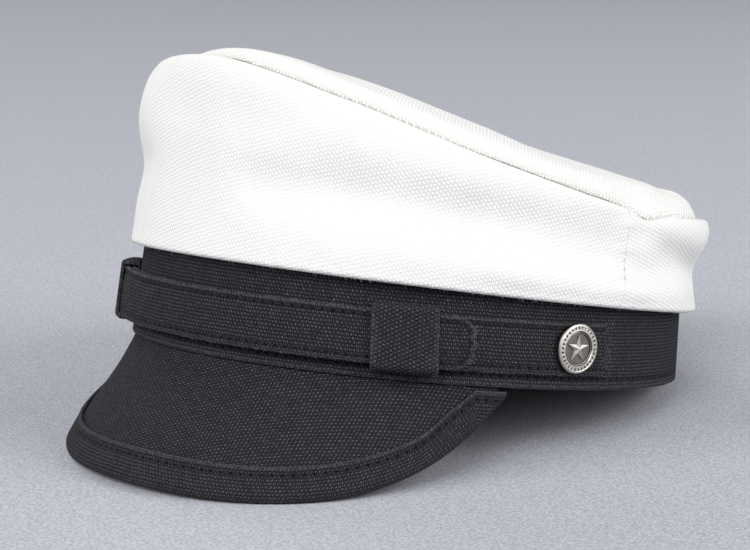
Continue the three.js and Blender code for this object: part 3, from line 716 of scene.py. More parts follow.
def crown_top_panel():
    """Rings that shrink from the top seam to the middle. Each rises by its puff just inside the seam and
    blends into a ridge that runs from front to back: height = (rim + puff)(1 - blend) + ridge blend. A dip
    of the seam fades out a short way in. The mask holds painted shade where the cloth comes out of the
    seam, by two bell curves of the distance from it."""
    angles = np.linspace(0, 360, 301)[:-1]
    seam = place(angles, section("seam", angles) - GAP / 2, crown_edge_height(angles) + seam_height(angles))
    front, back = seam[0], seam[len(angles) // 2]
    middle = (front[1] + back[1]) / 2
    half_length = (back[1] - front[1]) / 2
    ridge_ends = front[2] + section("puff", 0.0), back[2] + section("puff", 180.0)
    near = np.linspace(0, 0.022, 7)[:-1]
    shares = np.concatenate([near, 0.022 + 0.978 * np.linspace(0, 1, 44) ** 1.5])[None, :]
    reach = np.stack([seam[:, 0], seam[:, 1] - middle], -1)
    length = np.linalg.norm(reach, axis=1)[:, None]
    radius = length * (1 - shares)
    x = reach[:, :1] / length * radius
    y = (seam[:, 1:2] - middle) * (1 - shares)
    ahead = y / half_length
    ridge = ridge_ends[0] + (ridge_ends[1] - ridge_ends[0]) * (ahead + 1) / 2 + TOP_SWELL * (1 - ahead**2)
    puff = section("puff", angles)[:, None] * (1 - (1 - np.minimum(shares / PUFF_WIDTH, 1)) ** 2)
    blend = 1 - (1 - shares) ** TOP_BLEND
    dip = (section("height", angles) - seam_height(angles))[:, None]
    height = (seam[:, 2:] + dip + puff) * (1 - blend) + ridge * blend
    height = height - dip * (1 - smoothstep(shares, 0, DIP_SHARE))
    height = height + smoothstep(shares, 0, 0.08) * top_creases(x, y)
    along = angles[:, None] * MM_PER_DEGREE
    height = height + pucker(along, length * shares) * smoothstep(shares, 0, 0.02)
    inner_r, inner_z = inside_line(radius, height, CROWN_WALL)
    inner_r[:, 0], inner_z[:, 0] = radius[:, 0], height[:, 0] - CROWN_WALL
    inner_r[:, -1], inner_z[:, -1] = 0, height[:, -1] - CROWN_WALL
    height = height - seam_round(length * shares)

    def points(r, z):
        direction = reach / length
        return np.stack([direction[:, :1] * r, middle + direction[:, 1:] * r, z], -1)

    outer = points(radius, height)
    cloth = turned(outer[..., 0], outer[..., 1], GRAIN["crown_top"])
    aside = np.abs(folded(angles))[:, None]
    # Painted shade of the seam's crease, from where the cloth comes out from behind the side panel's rim: a
    # dark line and a wider, lighter shade
    hidden = SEAM_HIDES + HIDDEN_AT_SIDES * smoothstep(aside, 45, 85)
    hidden = hidden + HIDDEN_IN_FRONT * smoothstep(-aside, -8, -3)
    beyond = np.maximum(path_length(outer) - hidden, 0)
    line = CREASE_SHADE_STRENGTH * bell(beyond, CREASE_LINE_SHADE_WIDTH)
    shade = (1 - CREASE_SHADE_STRENGTH) * bell(beyond, CREASE_SHADE_WIDTH)
    dark = seam_shade_share(aside) * (line + shade)
    return grid_piece("crown_top", outer, points(inner_r, inner_z), cloth, wear_and_shade=dark, wrap=True)


def top_creases(x, y):
    """Height added to the top panel: bell curves of the distance to each crease's line, and slow waves."""
    added = TOP_WAVE_DEPTH * np.sin(x / 9.0 + 0.6 * np.sin(y / 23.0)) * np.sin(y / 12.0 + 1.0)
    for x0, y0, x1, y1, half_width, depth in TOP_CREASES:
        added = added - depth * bell(line_distance((x - x0, y - y0), (x1 - x0, y1 - y0)), half_width)
    return added


def build_crown(look):
    """Crown: two side panels and the top, in white canvas."""
    dress_sheets(white_canvas(look), "white_canvas", [
        (crown_side_panel("crown_front", FRONT_ENDS), "crown_front_panel"),
        (crown_side_panel("crown_back", BACK_ENDS), "crown_back_panel"),
        (crown_top_panel(), "crown_top_panel"),
    ])


# Head band


def band_grids(ends):
    """Outer and inner grid of a length of the band. Up from its rounded lower edge the face leans in, and
    dips at the hem's stitches: outset = lean - dip, dip a bell curve of the distance to the stitches."""
    angles, inset = panel_angles(ends)
    top = crown_edge_height(angles) + BAND_ABOVE_EDGE
    turn = np.radians(np.linspace(0, 90, 6)[:-1])
    fine = np.linspace(BAND_EDGE_ROUND, BAND_FINE_ROWS_TO, 16)
    low = np.concatenate([BAND_EDGE_ROUND * (1 - np.cos(turn)), fine])
    high = BAND_FINE_ROWS_TO + (top - BAND_FINE_ROWS_TO) * np.linspace(0, 1, 22)[1:]
    height = np.concatenate([low + 0 * angles, high], 1)
    tuck = np.zeros(height.shape[1])
    tuck[:len(turn)] = BAND_EDGE_ROUND * (1 - np.sin(turn))
    dip = BAND_DIP * bell(height - BAND_STITCH_HEIGHT, BAND_DIP_WIDTH)
    lean = band_outset(height)
    rolled = seam_round(inset, SIDE_SEAM_ROUND) * (tuck < BAND_EDGE_ROUND / 2)
    outer = place(angles, lean - tuck - dip - rolled, height)
    return angles, outer, place(angles, lean - BAND_WALL + tuck, height)


def hem_line():
    """Sewing line of the band's hem, down in its dip."""
    return facing_out(HEM_ANGLES, band_outset(BAND_STITCH_HEIGHT) - BAND_DIP, BAND_STITCH_HEIGHT)


def band_length(name, ends):
    """Length of the head band. Its stitch map runs along the hem's sewing line, and it is worn by
    exp(-height / wear) above its lower edge."""
    angles, outer, inner = band_grids(ends)
    height = outer[..., 2]
    cloth = np.stack([angles * MM_PER_DEGREE + 0 * height, path_length(outer)], -1)
    run = np.interp(folded(angles), HEM_ANGLES, path_length(hem_line()[:, :3]))
    stitches = np.stack([run + 0 * height, height - BAND_STITCH_HEIGHT], -1)
    return grid_piece(name, outer, inner, cloth, stitches, np.exp(-height / BAND_WEAR))


def build_band(look):
    """Head band: its two lengths, in black canvas."""
    dress_sheets(black_canvas(look), "black_canvas", [
        (band_length("head_band_front", FRONT_ENDS), "band_front"),
        (band_length("head_band_back", BACK_ENDS), "band_back"),
    ])


# Peak


def peak_reach(angle):
    """Length of the peak from root to edge: length (1 - |share|^outline)^round."""
    share = np.abs(angle / PEAK_ROOT_ANGLE)
    return PEAK_LENGTH * (1 - share**PEAK_OUTLINE) ** PEAK_END_ROUND


def beside_peak(angle, along, off):
    """(outset, height) of a point beside the peak's middle surface, by its distance from the root and its
    height off the surface, which slopes down more towards the ends and is hollow near the root."""
    off = off - PEAK_HOLLOW * (1 - smoothstep(along, *PEAK_HOLLOW_FADE))
    slope = np.radians(PEAK_SLOPE + PEAK_SLOPE_GAIN * (angle / PEAK_ROOT_ANGLE) ** 2)
    outset = PEAK_ROOT_OUTSET + along * np.cos(slope) + off * np.sin(slope)
    height = -GAP - along * np.sin(slope) + off * np.cos(slope)
    return outset, height


def binding_root(reach):
    """Distance from the peak's root to the inner edge of its binding, which is wider at its ends."""
    width = BINDING_WIDTH + (BINDING_END_WIDTH - BINDING_WIDTH) * (1 - smoothstep(reach, 20, 28))
    return np.minimum(np.maximum(reach - width, BINDING_ROOT_GAP), reach - BINDING_HALF - SHORTEST_LEG)


def peak_board():
    """Board from a flange inside the band, under the band's edge, and down to the fold of the binding. Its
    cloth was cut in an arc: (radius sin bearing, -radius cos bearing), stretched a little."""
    end = PEAK_ROOT_ANGLE * BINDING_ENDS_AT * BOARD_ENDS_AT
    angles = np.linspace(-end, end, 300)[:, None]
    board_end = peak_reach(angles) - BINDING_WALL - GAP - PEAK_HALF_WALL
    shares = np.linspace(0, 1, 40)[None, 2:]
    inside_band = -BAND_WALL - GAP
    inside_flange = inside_band - FLANGE_WALL

    def grid(flange_out, root_out, off, root_up):
        outset, height = beside_peak(angles, shares * board_end, off)
        first_out = np.array([flange_out + band_outset(FLANGE_HEIGHT), flange_out, root_out]) + 0 * angles
        first_up = np.array([FLANGE_HEIGHT, -GAP, root_up]) + 0 * angles
        return place(angles, np.concatenate([first_out, outset], 1), np.concatenate([first_up, height], 1))

    outer = grid(inside_band, PEAK_ROOT_OUTSET - PEAK_HALF_WALL / 2, PEAK_HALF_WALL, -GAP)
    inner = grid(inside_flange, inside_flange + FLANGE_WALL / 2, -PEAK_HALF_WALL, -GAP - PEAK_HALF_WALL)
    radius = PEAK_CUT_RADIUS + path_length(outer)
    bearing = np.radians(PEAK_CUT_SPREAD * angles)
    cloth = turned(radius * np.sin(bearing), -radius * np.cos(bearing), GRAIN["peak"])
    return grid_piece("peak_board", outer, inner, cloth / (1, PEAK_CLOTH_STRETCH))


def binding_profile(angles, half_thickness, edge, lumpy):
    """(outset, height) of the strip folded round the peak's edge: a leg above the board, a half circle
    round its edge, and a leg below. The upper leg's inner edge stands up in a ridge, with a dip at the
    stitches beside it: off = half + ridge - dip - tuck, the first two bell curves of the inset."""
    reach = peak_reach(angles)
    bend = reach - edge - half_thickness
    root = binding_root(reach)
    turn = np.radians(np.linspace(90, -90, 11))[None, 1:-1]
    run = root + (bend - root) * np.linspace(0, 1, 26)
    inset = run - root
    upper_off = half_thickness + 0 * inset
    if lumpy:
        ridge = BINDING_RIDGE * bell(inset - BINDING_RIDGE_INSET, BINDING_RIDGE_WIDTH)
        dip = BINDING_DIP * bell(inset - BINDING_STITCH_INSET, BINDING_DIP_WIDTH)
        tuck = BINDING_TUCK * np.exp(-inset / BINDING_TUCK_REACH)
        upper_off = upper_off + (ridge - dip - tuck)
    along = np.concatenate([run, bend + half_thickness * np.cos(turn), run[:, ::-1]], 1)
    off = np.concatenate([upper_off, half_thickness * np.sin(turn) + 0 * bend, -half_thickness + 0 * run], 1)
    return beside_peak(angles, along, off)


def binding_line():
    """Sewing line of the peak's binding, on its upper face, with the face's direction beside it."""
    end = PEAK_ROOT_ANGLE * BINDING_ENDS_AT * 0.97
    angles = np.linspace(-end, end, 900)
    reach = peak_reach(angles)
    along = np.minimum(binding_root(reach) + BINDING_STITCH_INSET, reach - BINDING_HALF)
    low = place(angles, *beside_peak(angles, along, BINDING_HALF - BINDING_DIP))
    high = place(angles, *beside_peak(angles, along, BINDING_HALF + 1.0))
    return np.concatenate([low, high - low], 1)


def peak_binding():
    """Strip folded round the peak's edge. It is worn along its inner edge and its fold, by bell curves of
    the distance across it."""
    end = PEAK_ROOT_ANGLE * BINDING_ENDS_AT
    angles = np.linspace(-end, end, 400)[:, None]
    outer = place(angles, *binding_profile(angles, BINDING_HALF, 0, True))
    inner = place(angles, *binding_profile(angles, BINDING_HALF - BINDING_WALL, BINDING_WALL, False))
    across = path_length(outer)
    edge_run = path_length(outer[:, BINDING_FOLD_COLUMN])[:, None]
    from_fold = across - across[:, BINDING_FOLD_COLUMN, None]
    wear_and_shade = bell(across - 0.8, 0.7) + 0.7 * bell(from_fold, 1.6)
    stitches = along_path(resampled(binding_line(), LINE_STEP)[:, :3], outer)
    cloth = np.stack([edge_run + 0 * across, across], -1)
    return grid_piece("peak_edge_binding", outer, inner, cloth, stitches, wear_and_shade)


def build_peak(look):
    """Peak and its binding, in black canvas. The stiff board isn't a sheet."""
    black = black_canvas(look)
    dress(peak_board(), black, "black_canvas", "peak")
    dress_sheets(black, "black_canvas", [(peak_binding(), "peak_binding")])


# Strap


def keeper_lift(angle):
    """How far the straps stand off to make room for the back of a keeper."""
    a = np.abs(angle)
    rise = smoothstep(a, KEEPER_FROM_ANGLE - KEEPER_LIFT_RUN, KEEPER_FROM_ANGLE - 1)
    fall = 1 - smoothstep(a, KEEPER_TO_ANGLE + 1, KEEPER_TO_ANGLE + KEEPER_LIFT_RUN)
    return KEEPER_LIFT * rise * fall


def lower_back(angle, height):
    """Outset of the back of the strap that lies on the band."""
    return band_outset(height) + GAP + keeper_lift(angle)


def upper_back(angle, height):
    """Outset of the back of the strap that lies on the other, and comes down to the band past its tip."""
    return lower_back(angle, height) + (STRAP_WALL + GAP) * (1 - smoothstep(-angle, *CROSSING))


def quarter_round(inset, radius):
    """Share of its full thickness that cloth has at an inset from its edge: a quarter ellipse."""
    return np.sqrt(1 - np.clip(1 - inset / radius, 0, 1) ** 2)


def strap_half_width(to_tip):
    """Half width: full along the strap, and rounded off towards its tip by a quarter circle."""
    corner = np.clip(STRAP_TIP_ROUND - to_tip, 0, STRAP_TIP_ROUND)
    return STRAP_WIDTH / 2 - STRAP_TIP_ROUND + np.sqrt(STRAP_TIP_ROUND**2 - corner**2)


def strap_inset(to_tip, offset):
    """Distance in from the strap's outline, which has a round corner on each side of its tip."""
    corner = STRAP_WIDTH / 2 - STRAP_TIP_ROUND
    beside = np.abs(offset) - corner
    round_part = STRAP_TIP_ROUND - np.hypot(STRAP_TIP_ROUND - to_tip, beside)
    straight = np.minimum(STRAP_WIDTH / 2 - np.abs(offset), to_tip)
    return np.where((to_tip < STRAP_TIP_ROUND) & (beside > 0), round_part, straight)


def strap_stitch_line(length):
    """Sewing line of a strap as (distance to the tip, offset from its middle): along its upper edge to the
    tip, round the tip and back, everywhere the same distance in from the outline."""
    corner = STRAP_WIDTH / 2 - STRAP_TIP_ROUND
    radius = STRAP_TIP_ROUND - STRAP_STITCH_INSET
    turn = np.radians(np.linspace(0, 90, 10))
    arc = np.stack([STRAP_TIP_ROUND - radius * np.sin(turn), corner + radius * np.cos(turn)], 1)
    run = np.linspace(length - 1, STRAP_TIP_ROUND, 240)[:-1]
    upper = np.concatenate([np.stack([run, corner + radius + 0 * run], 1), arc])
    return np.concatenate([upper, upper[::-1] * (1, -1)])


def strap_piece(name, end_angle, tip_angle, back):
    """Strap from its end under a button to its round tip. Its face stands off its back by the wall times
    a quarter ellipse at the edges, swells a little between its two rows of stitches, and dips at them."""
    length = abs(tip_angle - end_angle) * MM_PER_DEGREE
    side = np.sign(end_angle - tip_angle)
    beyond = np.linspace(STRAP_TIP_INSETS[-1], length, 330)[1:]
    to_tip = np.concatenate([STRAP_TIP_INSETS, beyond])[::-1, None]
    angles = tip_angle + side * to_tip / MM_PER_DEGREE
    share = np.array(STRAP_INSETS) / STRAP_INSETS[-1]
    share = np.concatenate([share - 1, (1 - share)[::-1][1:]])[None, :]
    offset = strap_half_width(to_tip) * share
    height = STRAP_MIDDLE + offset
    inset = np.maximum(strap_inset(to_tip, offset), 0)
    edge = quarter_round(inset, STRAP_EDGE_ROUND)
    swell = STRAP_SWELL * smoothstep(inset, STRAP_STITCH_INSET, 6)
    dip = STRAP_DIP * bell(inset - STRAP_STITCH_INSET, STRAP_DIP_WIDTH)
    slack = STRAP_SLACK * np.sin(angles * 0.9) * np.sin(height * 0.5)
    behind = back(angles, height)
    front = behind + STRAP_WALL * (0.52 + 0.4 * edge) + (swell - dip + slack) * edge
    rear = behind + STRAP_WALL * (0.48 - 0.46 * edge)
    line = resampled(strap_stitch_line(length), LINE_STEP)
    line_angles = tip_angle + side * line[:, 0] / MM_PER_DEGREE
    line_height = STRAP_MIDDLE + line[:, 1]
    face = back(line_angles, line_height) + STRAP_WALL * STRAP_FACE_SHARE - STRAP_DIP
    SEWN.append(facing_out(line_angles, face, line_height))
    cloth = np.stack([angles * MM_PER_DEGREE + 0 * height, height], -1)
    stitches = along_path(line, np.stack([to_tip + 0 * height, offset], -1))
    outer, inner = place(angles, front, height), place(angles, rear, height)
    return grid_piece(name, outer, inner, cloth, stitches, np.exp(-inset / CLOTH_WEAR))


def build_straps(look):
    """The strap's two lengths, in black canvas."""
    lower = strap_piece("front_strap_lower", STRAP_END_ANGLE, -STRAP_TIP_ANGLE, lower_back)
    upper = strap_piece("front_strap_upper", -STRAP_END_ANGLE, STRAP_TIP_ANGLE, upper_back)
    dress_sheets(black_canvas(look), "black_canvas", [(lower, "strap_lower"), (upper, "strap_upper")])


# Keepers


def box_ring(x0, x1, z0, z1, corner, low_corner):
    """Points round a box with round corners, the same number for every box. The corner at x1, z0 has a
    radius of its own."""
    corners = [(x0, z0, 180, corner), (x1, z0, 270, low_corner), (x1, z1, 0, corner), (x0, z1, 90, corner)]
    arcs = []
    for x, z, start, radius in corners:
        turn = np.radians(start + np.linspace(0, 90, 7))
        middle = np.array([x + (radius if x == x0 else -radius), z + (radius if z == z0 else -radius)])
        arcs.append(middle + radius * np.stack([np.cos(turn), np.sin(turn)], 1))
    ring = []
    for k, arc in enumerate(arcs):
        count = 22 if k % 2 else 5
        ring += [arc, np.linspace(arc[-1], arcs[(k + 1) % 4][0], count)[1:-1]]
    return np.concatenate(ring)


def keeper_piece(name, side):
    """Loop of cloth round both straps: a rounded box section carried along the band, whose two open ends
    are folded under. The section runs up the front, over the top and down the back."""
    back = band_outset(STRAP_MIDDLE) + GAP
    front_inner = back + KEEPER_LIFT + 2 * STRAP_WALL + 2 * GAP
    over = KEEPER_OVERHANG + GAP
    low, high = STRAP_LOW - over, STRAP_HIGH + over
    outer = box_ring(back, front_inner + KEEPER_FRONT_WALL, low, high, KEEPER_CORNER, KEEPER_LOW_CORNER)
    corners = KEEPER_INNER_CORNER, KEEPER_INNER_LOW_CORNER
    inner = box_ring(back + KEEPER_BACK_WALL, front_inner, STRAP_LOW - GAP, STRAP_HIGH + GAP, *corners)
    half = (KEEPER_TO_ANGLE - KEEPER_FROM_ANGLE) / 2
    share = np.sin(np.radians(np.linspace(-90, 90, 31)))
    angles = side * ((KEEPER_FROM_ANGLE + KEEPER_TO_ANGLE) / 2 + half * share)
    inset = (half - np.abs(half * share)) * MM_PER_DEGREE
    edge = quarter_round(inset, KEEPER_EDGE_ROUND)

    def grid(ring, fold):
        middle = np.array([(ring[:, 0].min() + ring[:, 0].max()) / 2, STRAP_MIDDLE])
        away = np.sign(ring - middle) * np.minimum(np.abs(ring - middle), 1)
        moved = ring[:, None, :] - away[:, None, :] * fold[None, :, None]
        x, z = moved[..., 0], moved[..., 1]
        leaning = angles[None, :] + side * KEEPER_LEAN * (STRAP_MIDDLE - z) / MM_PER_DEGREE
        return place(leaning, x + band_outset(z - STRAP_MIDDLE), z)

    run = path_length(outer)[:, None]
    along = side * angles[None, :] * MM_PER_DEGREE
    cloth = turned(along + 0 * run, run + 0 * along, GRAIN["keeper"])
    wear_and_shade = np.exp(-inset / CLOTH_WEAR)[None, :] + 0 * run
    outside, inside = grid(outer, 0.4 * (1 - edge)), grid(inner, -0.2 * (1 - edge))
    return grid_piece(name, outside, inside, cloth, wear_and_shade=wear_and_shade, wrap=True)


def build_keepers(look):
    """The two keepers, in black canvas."""
    sides = (("left", 1), ("right", -1))
    keepers = [(keeper_piece(f"strap_keeper_{name}", side), f"keeper_{name}") for name, side in sides]
    dress_sheets(black_canvas(look), "black_canvas", keepers)


# Buttons


def star_reach(bearing):
    """Distance from the star's middle to its outline: the straight line between a point's tip and the
    notch beside it, in polar form."""
    half = np.pi / STAR_POINTS
    off = np.abs(np.mod(bearing + half, 2 * half) - half)
    tip = np.array([STAR_OUTER_RADIUS, 0.0])
    notch = STAR_INNER_RADIUS * np.array([math.cos(half), math.sin(half)])
    side = notch - tip
    return (tip[0] * side[1] - tip[1] * side[0]) / (np.cos(off) * side[1] - np.sin(off) * side[0])


def button_piece(name, side):
    """Disc with a round rim, a sunk field and a star whose height falls in a straight line from its
    middle to its outline, and behind it the shank through strap and band with its flat head."""
    bearing = np.linspace(0, 2 * np.pi, 241)[:-1, None]
    shank = STRAP_WALL + BAND_WALL + 4 * GAP
    head = -shank - SHANK_HEAD_THICKNESS
    back = np.array([
        (0, head), (SHANK_HEAD_RADIUS - SHANK_HEAD_BEVEL, head), (SHANK_HEAD_RADIUS, head + SHANK_HEAD_BEVEL),
        (SHANK_HEAD_RADIUS, -shank), (SHANK_RADIUS, -shank), (SHANK_RADIUS, 0),
    ])
    ring = np.concatenate([back, BUTTON_RIM])
    reach = star_reach(bearing - np.pi / 2)
    share = np.linspace(1, 0, 12)
    outward_share = np.linspace(1, 0, 9)
    outside = reach + STAR_FIELD_GAP + (BUTTON_FIELD_RADIUS - reach - STAR_FIELD_GAP) * outward_share
    star = STAR_STEP + (STAR_HEIGHT - STAR_STEP) * (1 - share)
    field = np.concatenate([np.full(len(outward_share), -STAR_FIELD_SINK), [0], star])
    star_radius = (reach - STAR_STEP_IN) * share
    radius = np.concatenate([ring[:, 0] + 0 * bearing, outside, reach + STAR_FOOT_OUT, star_radius], 1)
    height = np.concatenate([ring[:, 1], BUTTON_FIELD_HEIGHT + field]) + 0 * bearing
    notched = (radius > NOTCHED_RADII[0]) & (radius < NOTCHED_RADII[1]) & (height > NOTCHED_ABOVE)
    notch = smoothstep(np.cos(bearing * BUTTON_NOTCHES), -0.1, 0.6) * notched
    height = height - NOTCH_DEPTH * notch
    out, up = np.append(outward(side * BUTTON_ANGLE), 0), np.array([0.0, 0, 1])
    across = np.cross(up, out)
    middle = place(side * BUTTON_ANGLE, band_outset(STRAP_MIDDLE) + 2 * GAP + STRAP_WALL, BUTTON_HEIGHT)
    x, y = radius * np.cos(bearing), radius * np.sin(bearing)
    points = middle + x[..., None] * across + y[..., None] * up + height[..., None] * out
    n = numbered(radius.shape)
    on_star = 0.55 + 0.45 * (height - BUTTON_FIELD_HEIGHT) / STAR_HEIGHT
    rays = np.where(height > BUTTON_FIELD_HEIGHT, on_star, 0.28)
    rubbed = np.where(radius < BUTTON_FIELD_RADIUS, rays, np.clip((height - 1.1) / 0.6, 0, 1))
    wear_and_shade = rubbed * (1 - 0.8 * notch)
    quads = grid_quads(np.vstack([n, n[:1]]))
    return add_mesh(name, lay(points.reshape(-1, 3)), quads, masks={"wear_and_shade": wear_and_shade}, sharp=BUTTON_SHARP)


def build_buttons(look):
    """The two buttons, in tarnished metal."""
    silver = antique_silver(look)
    for name, side in (("left", 1), ("right", -1)):
        dress(button_piece(f"star_button_{name}", side), silver, "antique_silver", f"button_{name}")


# Stitches


def tubes(centre, first, second, radius, sides):
    """Rings of points round centre lines: centre + radius (cos turn first + sin turn second)."""
    turn = np.radians(np.arange(sides) * 360 / sides)[:, None]
    ring = np.cos(turn) * first[..., None, :] + np.sin(turn) * second[..., None, :]
    return centre[..., None, :] + ring * radius[:, None, None]


def tube_quads(n):
    """Quads round tubes, from the numbers of the points of their rings."""
    return grid_quads(np.concatenate([n, n[..., :1]], -1))


def stitch_mesh(lines):
    """Short round threads along the sewing lines, one for each stitch, with their ends down in the needle
    holes. Along a stitch t runs from 0 to 1: its middle lies (1 - (2t - 1)^4) high and its radius is the
    thread's times the fourth root of the same."""
    t = np.linspace(0, 1, 7)
    arch = 1 - (2 * t - 1) ** 4
    radius = THREAD_RADIUS * np.maximum(arch, 0) ** 0.25
    threads = []
    for line in lines:
        even = resampled(line, STITCH_LENGTH / STITCH_STEPS)
        count = (len(even) - 1) // STITCH_STEPS
        index = STITCH_STEPS * np.arange(count)[:, None] + 1 + (STITCH_STEPS - 2) * t
        spot = np.stack([np.interp(index, np.arange(len(even)), column) for column in even.T], -1)
        centre, normal = spot[..., :3], unit(spot[..., 3:])
        across = np.cross(normal, unit(np.gradient(centre, axis=1)))
        centre = centre + normal * (STITCH_ARCH * arch[:, None] - STITCH_SUNK)
        threads.append(tubes(centre, across, normal, radius, 6))
    points = np.concatenate(threads)
    return points.reshape(-1, 3), tube_quads(numbered(points.shape[:3]))


def build_stitches(look):
    """Thread of the hem, the peak's binding and the straps."""
    points, quads = stitch_mesh([hem_line(), binding_line(), *SEWN])
    dress(add_mesh("stitching", lay(points), quads), black_thread(look), "black_canvas")


# Loose fibres


def fibre_mesh(roots, directions, lengths, chance):
    """Thin three-sided threads. A fibre leaves its root along its direction and bends away by half the
    square of the way along it, and it narrows to a point."""
    t = np.linspace(0, 1, FIBRE_STEPS)[:, None]
    directions = unit(directions)
    bend = chance.normal(size=roots.shape)
    bend = unit(bend - (bend * directions).sum(1, keepdims=True) * directions)[:, None]
    directions, lengths = directions[:, None], lengths[:, None, None]
    centre = roots[:, None] + directions * (lengths * t) + bend * (lengths * (0.5 * t**2))
    radius = FIBRE_RADIUS * (1 - 0.98 * t[:, 0])
    points = tubes(centre, bend, np.cross(directions, bend), radius, 3)
    n = numbered(points.shape[:3])
    return points.reshape(-1, 3), tube_quads(n), np.concatenate([n[:, 0, [0, 2, 1]], n[:, -1]])


def fibre_face(face, angle, height):
    """Outset of the face that fibres stand on."""
    if face == "crown edge":
        return section("edge", angle) - 0.5
    if face == "lower strap":
        return lower_back(angle, height) + STRAP_WALL
    if face == "upper strap":
        return upper_back(angle, height) + STRAP_WALL
    return KEEPER_FACE if face == "keeper" else band_outset(height)


def scattered(chance, count, face, angles, heights, lean, lengths):
    """Roots spread over a stretch of a face, directions that lean out and down, and a range of lengths."""
    angle = chance.uniform(*angles, count)
    height = chance.uniform(*(heights or RIM_SPREAD), count)
    if not heights:
        height = crown_edge_height(angle) + height
    roots = place(angle, fibre_face(face, angle, height), height)
    n = outward(angle)
    along = np.stack([-n[:, 1], n[:, 0], 0 * n[:, 0]], 1) * chance.normal(size=(count, 1))
    leaning = np.concatenate([n * lean[0], np.full((count, 1), -lean[1])], 1)
    return roots, along + leaning + 0.4 * chance.normal(size=(count, 3)), lengths


def fibre_piece(name, groups, chance, material, slot):
    """One object for all the fibres of a colour."""
    roots = np.concatenate([root for root, _, _ in groups])
    directions = np.concatenate([direction for _, direction, _ in groups])
    lengths = np.concatenate([chance.uniform(*span, len(root)) for root, _, span in groups])
    points, quads, ends = fibre_mesh(roots, directions, lengths, chance)
    mesh = bpy.data.meshes.new(name)
    mesh.from_pydata(lay(points), [], quads.tolist() + ends.tolist())
    mesh.shade_smooth()
    dress(add_object(name, mesh), material, slot)


def build_fibres(look):
    """White lint at the crown's edge and on the black cloth, and grey lint along the black edges."""
    chance = np.random.default_rng(FIBRE_SEED)
    groups = {name: [scattered(chance, *row) for row in rows] for name, rows in FIBRES.items()}
    for name, finish, light, slot in (
        ("white_fibres", "White fibre", 0.75, "white_canvas"),
        ("grey_fibres", "Grey fibre", 0.22, "black_canvas"),
    ):
        fibre_piece(name, groups[name], chance, fibre_finish(finish, light), slot)


# Finishes


class Wiring:
    """Adds nodes to a node tree and joins them, so that a pattern reads as a formula."""

    def __init__(self, tree):
        self.tree = tree

    def node(self, kind, inputs=None, **settings):
        made = self.tree.nodes.new(kind)
        for key, value in settings.items():
            setattr(made, key, value)
        for key, value in (inputs or {}).items():
            self.join(value, made.inputs[key])
        return made

    def join(self, value, socket):
        if isinstance(value, bpy.types.NodeSocket):
            self.tree.links.new(value, socket)
        else:
            socket.default_value = value

    def math(self, operation, *values, clamp=False):
        made = self.node("ShaderNodeMath", dict(enumerate(values)), operation=operation, use_clamp=clamp)
        return made.outputs[0]

    def times(self, *values, clamp=False):
        return self.math("MULTIPLY", *values, clamp=clamp)

    def step(self, value, low, high):
        inputs = {"Value": value, "From Min": low, "From Max": high}
        return self.node("ShaderNodeMapRange", inputs, interpolation_type="SMOOTHSTEP").outputs[0]

    def blend(self, share, first, second):
        made = self.node("ShaderNodeMix", data_type="RGBA")
        for value, socket in zip((share, first, second), (made.inputs[0], made.inputs[6], made.inputs[7])):
            self.join(value, socket)
        return made.outputs[2]

    def noise(self, vector, scale, detail=2.0, output="Fac"):
        inputs = {"Vector": vector, "Scale": scale, "Detail": detail}
        return self.node("ShaderNodeTexNoise", inputs).outputs[output]

    def object_place(self):
        return self.node("ShaderNodeTexCoord").outputs["Object"]

    def cloth_map(self, name):
        return self.node("ShaderNodeUVMap", uv_map=name).outputs[0]

    # Mask of real wear on the black cloth and the buttons, and of painted shade on the crown
    def wear_and_shade(self):
        return self.node("ShaderNodeAttribute", attribute_name="wear_and_shade").outputs["Fac"]

    def bump(self, height, distance, strength, skin):
        made = self.node("ShaderNodeBump", {"Height": height, "Distance": distance, "Strength": strength})
        self.join(made.outputs[0], skin.inputs["Normal"])


def effect(name, inputs, outputs):
    """New node group with float and vector inputs (name, default) and float outputs. Gives the group, its
    wiring, its input sockets and its output node, or only the group where it is already made."""
    group = bpy.data.node_groups.get(name)
    if group:
        return group, None, None, None
    group = bpy.data.node_groups.new(name, "ShaderNodeTree")
    for label, default in inputs:
        kind = "NodeSocketVector" if default is None else "NodeSocketFloat"
        socket = group.interface.new_socket(label, in_out="INPUT", socket_type=kind)
        if default is not None:
            socket.default_value = default
    for label in outputs:
        group.interface.new_socket(label, in_out="OUTPUT", socket_type="NodeSocketFloat")
    wiring = Wiring(group)
    return group, wiring, wiring.node("NodeGroupInput").outputs, wiring.node("NodeGroupOutput").inputs


